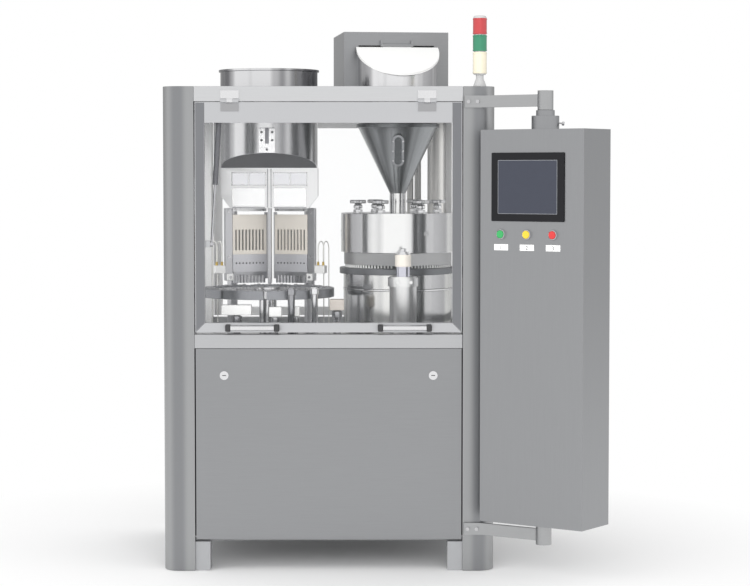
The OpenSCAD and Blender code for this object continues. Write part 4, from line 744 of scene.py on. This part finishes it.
# Sensor blocks: white moulded blocks on the outer posts, each with two brass-coloured push-in fittings.
# The air lines leave from these.
fitting_yellow = grained("fitting_yellow", "yellow", (0.62, 0.43, 0.09), 0.3, fineness=900, metallic=0.4)
blocks, fittings = bmesh.new(), bmesh.new()
for side in (-1, 1):
    place = magazine_frame(side)
    low, high = sorted((side * 0.0984, side * 0.1403))
    block_into(blocks, (low, -0.015, 1.058), (high, 0.015, 1.088), place)
    for across in FITTINGS:
        turned_into(
            fittings, [(0.0021, 1.0875), (0.005, 1.0875), (0.005, 1.0955), (0.004, 1.0965), (0.0048, 1.0985),
                       (0.0048, 1.1005), (0.0036, FITTING_TOP), (0.0021, FITTING_TOP)],
            place @ moved(side * across, 0, 0), steps=24)
cut_piece("sensor_blocks", blocks, 0.0025, white_plastic, "machine_frame", "station_blocks")
round_piece("air_fittings", fittings, fitting_yellow, "machine_frame", "station_blocks")

# Station posts and blocks: bright turned posts with clamping collars stand on the deck round the turret.
# They carry white guide blocks and, on the right, a beige ejector housing.
post_chrome = polished_round(
    "post_chrome", "bright_steel", (0.4, 0.4, 0.42), (0.86, 0.86, 0.87), 0.14, (FEED_X, TURRET_Y), turns=9)
softened("station_posts", 0.0012, post_chrome)
beige = grained("beige", "white_plastic", (0.6, 0.55, 0.5), 0.45, fineness=700, depth=0.06, bump=0.2)
for name, finish, boxes in (
        ("guide_blocks", white_plastic, ((-0.16, -0.24, 0.923, -0.05, -0.19, 0.96),
                                         (0.015, -0.241, 0.917, 0.061, -0.207, 0.953),
                                         (0.098, -0.22, 0.917, 0.126, -0.19, 0.953))),
        ("ejector_housing", beige, ((0.235, -0.152, 0.935, 0.289, -0.092, 0.975),))):
    bm = bmesh.new()
    for box in boxes:
        block_into(bm, box[:3], box[3:], moved(FEED_X, TURRET_Y, 0))
    cut_piece(name, bm, 0.003, finish, "machine_frame", "station_blocks")

# Turret: a ground disc on a column with nine dark hardened segments screwed round its rim.
# Each segment has two rows of bushed bores for the capsules and two cap screws.
STATIONS, SEGMENT_TOP = 9, 1.012
disc_steel = polished_round(
    "disc_steel", "machined_alloy", (0.36, 0.36, 0.37), (0.74, 0.74, 0.75), 0.22, (FEED_X, TURRET_Y), turns=3)
segment_steel = grained(
    "segment_steel", "dark_metal", (0.29, 0.295, 0.315), 0.32, fineness=400, clouds=8, depth=0.2,
    metallic=0.8)
softened("turret_disc", 0.002, disc_steel)
softened("turret_segments", 0.0015, segment_steel)


def ring_point(middle, radius, degrees, z):
    """A point on a level circle."""
    turn = math.radians(degrees)
    return Vector((middle[0] + radius * math.cos(turn), middle[1] + radius * math.sin(turn), z))


bushes, cap_screws = [], []
fan = [(channel - CHANNELS // 2) * 3.5 for channel in range(CHANNELS)]
for i in range(STATIONS):
    middle = i * 360 / STATIONS - 70
    for places, radius, turns in ((bushes, 0.2405, fan), (bushes, 0.2275, fan),
                                  (cap_screws, 0.211, (-12, 12))):
        for turn in turns:
            places.append((ring_point((FEED_X, TURRET_Y), radius, middle + turn, SEGMENT_TOP), (0, 0, 1)))
stud_set("segment_bushes", bushes, rib_steel, "turret", 0.0052, 0.0015, recess=0.62, depth=0.0014, sides=14)
stud_set("segment_screws", cap_screws, screw_steel, "turret", 0.006, 0.005, recess=0.55, depth=0.003)

# Dosing unit: a polished fixed bowl on the deck with the dark dosing disc turning on top of it.
# A groove round the bowl takes its band clamp.
DOSE = (0.256, -0.02)
bowl_steel = polished_round(
    "bowl_steel", "machined_alloy", (0.47, 0.47, 0.48), (0.84, 0.84, 0.82), 0.14, DOSE, turns=4, phase=0.3)
softened("dosing_bowl", 0.0012, bowl_steel)
disc_dark = grained(
    "disc_dark", "dark_metal", (0.16, 0.165, 0.175), 0.34, stretch=(1, 1, 0.2), fineness=300, depth=0.2,
    metallic=0.8)
softened("dosing_disc", 0.002, disc_dark)
turned("bowl_band", [(0.2068, 1.0012), (0.209, 1.0016), (0.2094, 1.004), (0.209, 1.0064), (0.2068, 1.0068)],
       moved(*DOSE, 0), bright_steel, "machine_frame", steps=96)

# Tamping plate and head: a grey plate drawn out to both guide posts under a large polished drum.
# White pins hang below the plate in a close row, and round plugs mark the drum's side.
PINS = 96
plate_grey = grained(
    "plate_grey", "grey_metal", (0.41, 0.41, 0.415), 0.34, stretch=(0.06, 0.06, 1), fineness=400, depth=0.14,
    metallic=0.8)
head_steel = polished_round(
    "head_steel", "machined_alloy", (0.46, 0.46, 0.47), (0.95, 0.95, 0.94), 0.13, DOSE, turns=4, phase=0.3)
softened("tamping_plate", 0.0012, plate_grey)
softened("tamping_head", 0.002, head_steel)
# A dark ring behind the pins is painted shade, to set the pins off.
turned("pin_shade_ring", [(0.186, 1.0872), (0.1905, 1.0872), (0.1905, 1.0984), (0.186, 1.0984)], moved(*DOSE, 0),
       joint_shade, "tamping_head", steps=96)
pins = []
for degrees in (360 * step / PINS for step in range(PINS)):
    if abs(math.cos(math.radians(degrees + 87))) < 0.985:
        pins.append((ring_point(DOSE, 0.1975, degrees, 1.0982), (0, 0, -1)))
stud_set(
    "tamping_pins", pins, white_plastic, "tamping_head", 0.0034, 0.0118, recess=0.7, depth=0.0004, sides=12)
plugs = [(ring_point(DOSE, 0.2155, degrees, 1.216), ring_point((0, 0), 1, degrees, 0))
         for degrees in (-117, -61, 63, 117, 0, 180)]
stud_set("head_plugs", plugs, head_steel, "tamping_head", 0.011, 0.0015, recess=0.8, depth=0.001, sides=24)

# Adjusting knobs: six turned hand knobs on stems, each through a hex nut on the drum's top.
# Their rims are scalloped for grip.
KNOB_RADIUS, SCALLOPS, SCALLOP_DEPTH, RIM_STEPS = 0.0298, 12, 0.0012, 96
knob_steel = brushed("knob_steel", "bright_steel", (0.62, 0.62, 0.63), 0.36, clouds=20, depth=0.15)
nuts = bmesh.new()
for i in range(1, 7):
    spot = moved(*ring_point(DOSE, 0.152, 60 * (i - 1) + 4, 0))
    turned(f"knob_stem_{i}", [(0, 1.2625), (0.0079, 1.2625), (0.0079, 1.307), (0.016, 1.3085), (0.017, 1.311),
                              (0.017, 1.319), (0.013, 1.324), (0.015, 1.3282), (0, 1.3282)],
           spot, bright_steel, f"knob_{i}", f"knob_{i}", steps=32)
    rim = []
    for degrees in (360 * step / RIM_STEPS for step in range(RIM_STEPS)):
        rim.append((degrees, KNOB_RADIUS + SCALLOP_DEPTH * math.cos(math.radians(SCALLOPS * degrees))))
    bm = bmesh.new()
    lofted_into(bm, [[spot @ ring_point((0, 0), share * radius, degrees, z) for degrees, radius in rim]
                     for z, share in ((1.3278, 0.93), (1.3302, 1.0), (1.3385, 1.0), (1.341, 0.93))])
    round_piece(f"hand_knob_{i}", bm, knob_steel, f"knob_{i}", f"knob_{i}")
    turned_into(nuts, [(0.0086, 1.2915), (0.021, 1.2915), (0.021, 1.294), (0.0086, 1.294)], spot, steps=32)
    turned_into(nuts, [(0.0086, 1.2938), (0.0165, 1.2938), (0.0175, 1.295), (0.0175, 1.3035), (0.016, 1.305),
                       (0.0086, 1.305)], spot, steps=6)
round_piece("knob_nuts", nuts, bright_steel, "tamping_head")

# Guide posts: bright tubes bolted to the deck, with a split clamp at the top and a chromed rod inside.
# Each rod carries the tamping plate in a cream bush, under a washer and a round nut.
tube_steel = polished_round(
    "tube_steel", "machined_alloy", (0.6, 0.6, 0.61), (0.95, 0.95, 0.94), 0.34, (0.272, -0.322), turns=2,
    phase=0.3)
softened("post_tubes", 0.0015, tube_steel)
rod_blue = brushed(
    "rod_blue", "bright_steel", (0.66, 0.66, 0.74), 0.1, stretch=(1, 1, 6), depth=0.08, bump=0.03)
for name, finish, profile in (
        ("guide_rods_chromed", rod_blue,
         [(0, 0.88), (0.026, 0.88), (0.026, 1.0985), (0, 1.0985)]),
        ("guide_bushes", cream,
         [(0, 1.0982), (0.0285, 1.0982), (0.03, 1.0998), (0.03, 1.1412), (0.0288, 1.143), (0, 1.143)]),
        ("guide_nuts", bright_steel,
         [(0, 1.1428), (0.029, 1.1428), (0.0296, 1.1438), (0.0296, 1.1465), (0.029, 1.1475), (0.02, 1.1475),
          (0.02, 1.1535), (0.011, 1.155), (0.011, 1.164), (0.0095, 1.166), (0, 1.166)])):
    bm = bmesh.new()
    for degrees in (3, 183):
        turned_into(bm, profile, moved(*DOSE, 0) @ spun(degrees, "Z") @ moved(0, -0.302, 0))
    round_piece(name, bm, finish, "tamping_head", "guide_rods")

# Powder hopper: a spun steel cone with a neck into the drum, a sight glass on its front and a cylinder above.
# The glass sits in a dull oval-ended frame held by small screws; the agitator turns inside on a bridge.
# The cone is coloured much darker than the cylinder above it as painted shade, and a thin sleeve gives its
# neck a lighter copy of the steel as painted light.
cone_shaded_steel = polished_round(
    "cone_shaded_steel", "hopper_steel", (0.12, 0.125, 0.13), (0.28, 0.29, 0.3), 0.28, DOSE, turns=5, phase=2.0)
mouth_steel = polished_round(
    "mouth_steel", "hopper_steel", (0.42, 0.42, 0.43), (0.8, 0.8, 0.81), 0.24, DOSE, turns=3, phase=0.4)
neck_lit_steel = polished_round(
    "neck_lit_steel", "hopper_steel", (0.34, 0.34, 0.35), (0.9, 0.9, 0.89), 0.14, DOSE, turns=4, phase=0.3)
softened("powder_cone", 0.001, cone_shaded_steel)
softened("powder_cylinder", 0.001, mouth_steel)
turned("neck_lit_sleeve", [(0.0303, 1.105), (0.0308, 1.105), (0.0308, 1.366), (0.0303, 1.366)], moved(*DOSE, 0),
       neck_lit_steel, "machine_frame", steps=64)
coated("agitator", bright_steel)
SIGHT_HALF, SIGHT_STEPS, CONE_LEAN = 0.043, 32, math.degrees(math.atan2(0.1195, 0.248))
spot = moved(DOSE[0], DOSE[1] - 0.1086, 1.5297) @ spun(90 + CONE_LEAN, "X")
glass_dark = grained(
    "glass_dark", "clear_pane", (0.045, 0.05, 0.055), 0.12, fineness=60, clouds=8, depth=0.25, bump=0.02)
sight_steel = brushed("sight_steel", "bright_steel", (0.31, 0.315, 0.33), 0.3)
for name, radius, low, high, finish, stands_for in (
        ("sight_frame", 0.0228, -0.006, 0.0078, sight_steel, ("cone_window",)),
        ("sight_glass", 0.0135, 0.007, 0.0086, glass_dark, ())):
    ends = [((0, SIGHT_HALF if step < SIGHT_STEPS // 2 else -SIGHT_HALF), 360 * (step + 0.5) / SIGHT_STEPS)
            for step in range(SIGHT_STEPS)]
    bm = bmesh.new()
    lofted_into(bm, [[spot @ ring_point(middle, radius, degrees, z) for middle, degrees in ends]
                     for z in (low, high)])
    cut_piece(name, bm, 0.0008, finish, "machine_frame", *stands_for)
way = spot.to_3x3() @ Vector((0, 0, 1))
sight_screws = [(spot @ Vector((x, y, 0.0079)), way) for x in (-0.0188, 0.0188) for y in (-0.04, 0, 0.04)]
stud_set("sight_screws", sight_screws, screw_steel, "machine_frame", 0.0032, 0.002)

# Hood and loading cover: a folded sheet hood stands behind the sloping mouth, which a white cover closes.
# The cover hangs on a pin across the hood's front and lifts for filling.
hood_steel = brushed(
    "hood_steel", "panel_steel", (0.36, 0.365, 0.375), 0.36, stretch=(0.03, 0.03, 1), fineness=380, clouds=2,
    depth=0.14)
softened("hood", 0.002, hood_steel)
softened("loading_cover", 0.002, white_plastic)
turned(
    "cover_knuckle", [(0.005, -0.0548), (0.0073, -0.0548), (0.0073, 0.0548), (0.005, 0.0548)],
    moved(*DOSE, 0) @ spun(7, "Z") @ moved(0, 0.026, 1.9288) @ along_x, hood_steel, "loading_cover",
    slot="bright_steel")

# Rear pipes: a wide brushed column and two slim bright pipes from deck to roof behind the dosing unit.
# They carry the vacuum and the dust away.
pipe_steel = polished_round(
    "pipe_steel", None, (0.46, 0.455, 0.45), (0.8, 0.785, 0.76), 0.42, (0.416, 0.33), turns=2)
coated("rear_pipes", pipe_steel)

# Signal tower: three lamps on a flared grey foot at the right front corner, red over green over cream.
# Each lens is ribbed inside and sits between thin grey rings; a flat cap closes the top.
TOWER = moved(0.548, -0.42, 0)
tower_grey = grained("tower_grey", "lamp", (0.52, 0.52, 0.52), 0.4, fineness=700, depth=0.08)
bm = bmesh.new()
turned_into(
    bm, [(0, 1.755), (0.024, 1.755), (0.0236, 1.759), (0.018, 1.776), (0.015, 1.781), (0.014, 1.785),
         (0.014, 1.7985), (0.022, 1.7995), (0.0225, 1.804), (0, 1.804)], TOWER)
for z in (1.8805, 1.9415):
    turned_into(bm, [(0, z), (0.0215, z), (0.0215, z + 0.004), (0, z + 0.004)], TOWER)
turned_into(
    bm, [(0, 2.0028), (0.0245, 2.0028), (0.0245, 2.005), (0.0215, 2.0105), (0.019, 2.0118), (0, 2.0118)],
    TOWER)
round_piece("tower_mast", bm, tower_grey, "machine_frame", "signal_tower")


def lens_plastic(name, slot, colour):
    """Coloured lens plastic: glossy, with fine upright ribs in its tone."""
    finish = grained(
        name, slot, colour, 0.18, stretch=(1, 1, 0.02), fineness=300, clouds=60, depth=0.16, bump=0.1)
    finish.node_tree.nodes["Principled BSDF"].inputs["Coat Weight"].default_value = 0.4
    return finish


edge = [(0, 0), (0.0245, 0), (0.026, 0.0015), (0.026, 0.006), (0.0252, 0.0072)]
for name, low, high, colour, slot in (("cream_lamp", 1.803, 1.881, (0.8, 0.74, 0.58), "lamp"),
                                      ("green_lamp", 1.884, 1.942, (0.03, 0.22, 0.12), "green"),
                                      ("red_lamp", 1.945, 2.003, (0.48, 0.045, 0.05), "red")):
    turned(name, [(r, low + z) for r, z in edge] + [(r, high - z) for r, z in edge[::-1]], TOWER,
           lens_plastic(name + "_lens", slot, colour), "machine_frame", "signal_tower")

# Arms: two short flat arms from the right pillar end in bored bosses that the control box swivels in.
# Each is welded to a foot plate with two cap screws.
arm_steel = brushed(
    "arm_steel", "light_steel", (0.44, 0.445, 0.45), 0.34, stretch=(0.06, 0.06, 1), fineness=380)
softened("arm_brackets", 0.003, arm_steel)
stud_set("arm_screws", [((x, -0.512, z), (0, -1, 0)) for x in (0.503, 0.535) for z in (1.6995, 0.1545)],
         screw_steel, "machine_frame", 0.0065, 0.006, recess=0.55, depth=0.003)

# Control box: a tall folded steel cabinet that hangs on its two spindles, turned towards the operator.
# Its front is brushed upright, and a collar and a grub screw hold it to the upper spindle.
BOX_X, BOX_Y = 0.769, -0.64
BOX = moved(BOX_X, BOX_Y, 0) @ spun(-35, "Z")
box_steel = brushed(
    "box_steel", "panel_steel", (0.35, 0.355, 0.365), 0.36, stretch=(1, 1, 0.014), fineness=420, clouds=1.2)
softened("control_box", 0.003, box_steel)
turned(
    "collar_screw", [(0, 0), (0.0028, 0.0004), (0.003, 0.012), (0.0065, 0.012), (0.007, 0.013),
                     (0.007, 0.0185), (0.006, 0.02), (0, 0.02)],
    moved(BOX_X + 0.046, BOX_Y - 0.014, 1.62) @ spun(100, "Y"), knob_steel, "control_box", steps=24)

# Touch screen: a black moulded bezel with a grey-blue glass set flush in it.
# A thin paler line runs round the glass.
bezel_black = grained("bezel_black", "screen", (0.012, 0.012, 0.014), 0.34, fineness=900, depth=0.2, bump=0.1)
bezel_black.node_tree.nodes["Principled BSDF"].inputs["Specular IOR Level"].default_value = 0.2
glass_blue = grained("glass_blue", "screen", (0.036, 0.041, 0.06), 0.12, fineness=30, clouds=4, bump=0.0)
line_grey = grained("line_grey", "screen", (0.26, 0.27, 0.29), 0.35, fineness=900, depth=0.08)
softened("touch_screen", 0.003, bezel_black)
glass, line = bmesh.new(), bmesh.new()
block_into(glass, (-0.132, -0.1014, 1.301), (0.106, -0.1002, 1.487), BOX)
rim_into(line, (-0.1335, 1.2995), (0.1075, 1.4885), 0.0015, -0.1016, -0.1002, BOX)
fitted(piece_of("screen_glass", glass), glass_blue, body_of["touch_screen"])
fitted(piece_of("screen_line", line), line_grey, body_of["touch_screen"])

# Push buttons: three domed plastic caps in chromed bezels, green, yellow and red.
# Below each is a white engraved label plate with a plain number.
upright = spun(90, "X")
label_ink = grained("label_ink", "screen", (0.03, 0.03, 0.035), 0.5, fineness=800, depth=0.2)
bezels, plates = bmesh.new(), bmesh.new()
for i, (hue, x, colour) in enumerate((("green", -0.123, (0.03, 0.36, 0.1)),
                                      ("yellow", -0.017, (0.8, 0.55, 0.03)),
                                      ("red", 0.089, (0.6, 0.03, 0.03))), 1):
    name = hue + "_button"
    spot = BOX @ moved(x, -0.095, 1.227) @ upright
    turned_into(bezels, [(0.0144, 0.0), (0.019, 0.0), (0.019, 0.003), (0.017, 0.0066), (0.015, 0.0076),
                         (0.0144, 0.007)], spot)
    turned(name + "_cap", [(0, -0.011), (0.005, -0.011), (0.005, 0.0044), (0.0138, 0.0044), (0.0138, 0.0096),
                           (0.0126, 0.0108), (0.007, 0.0113), (0, 0.0114)],
           spot, lens_plastic(name + "_plastic", hue, colour), name, name)
    block_into(plates, (x - 0.029, -0.0968, 1.17), (x + 0.029, -0.0945, 1.192), BOX)
    figure = bpy.data.curves.new(f"figure_{i}", "FONT")
    figure.body = str(i)
    figure.size = 0.02
    figure.align_x = "CENTER"
    figure.extrude = 0.0002
    drawn = shown(f"label_figure_{i}", figure)
    mesh = plain_mesh(drawn)
    bpy.data.objects.remove(drawn)
    mesh.transform(BOX @ moved(x, -0.0969, 1.174) @ upright)
    fitted(shown(f"label_figure_{i}", mesh), label_ink, "control_box")
round_piece("button_bezels", bezels, bright_steel, "control_box")
cut_piece("label_plates", plates, 0.0008, white_plastic, "control_box", steps=1)

# Drive: a geared motor turns the camshaft under the deck, which works both index boxes.
# The castings are painted grey, and the shaft and its cams are ground steel.
cast_grey = grained("cast_grey", "cast_grey", (0.24, 0.25, 0.26), 0.55, fineness=260, depth=0.12, bump=0.5)
softened("drive_motor", 0.004, cast_grey)
softened("drive_housings", 0.003, cast_grey)
softened("camshaft", 0.001, bright_steel)
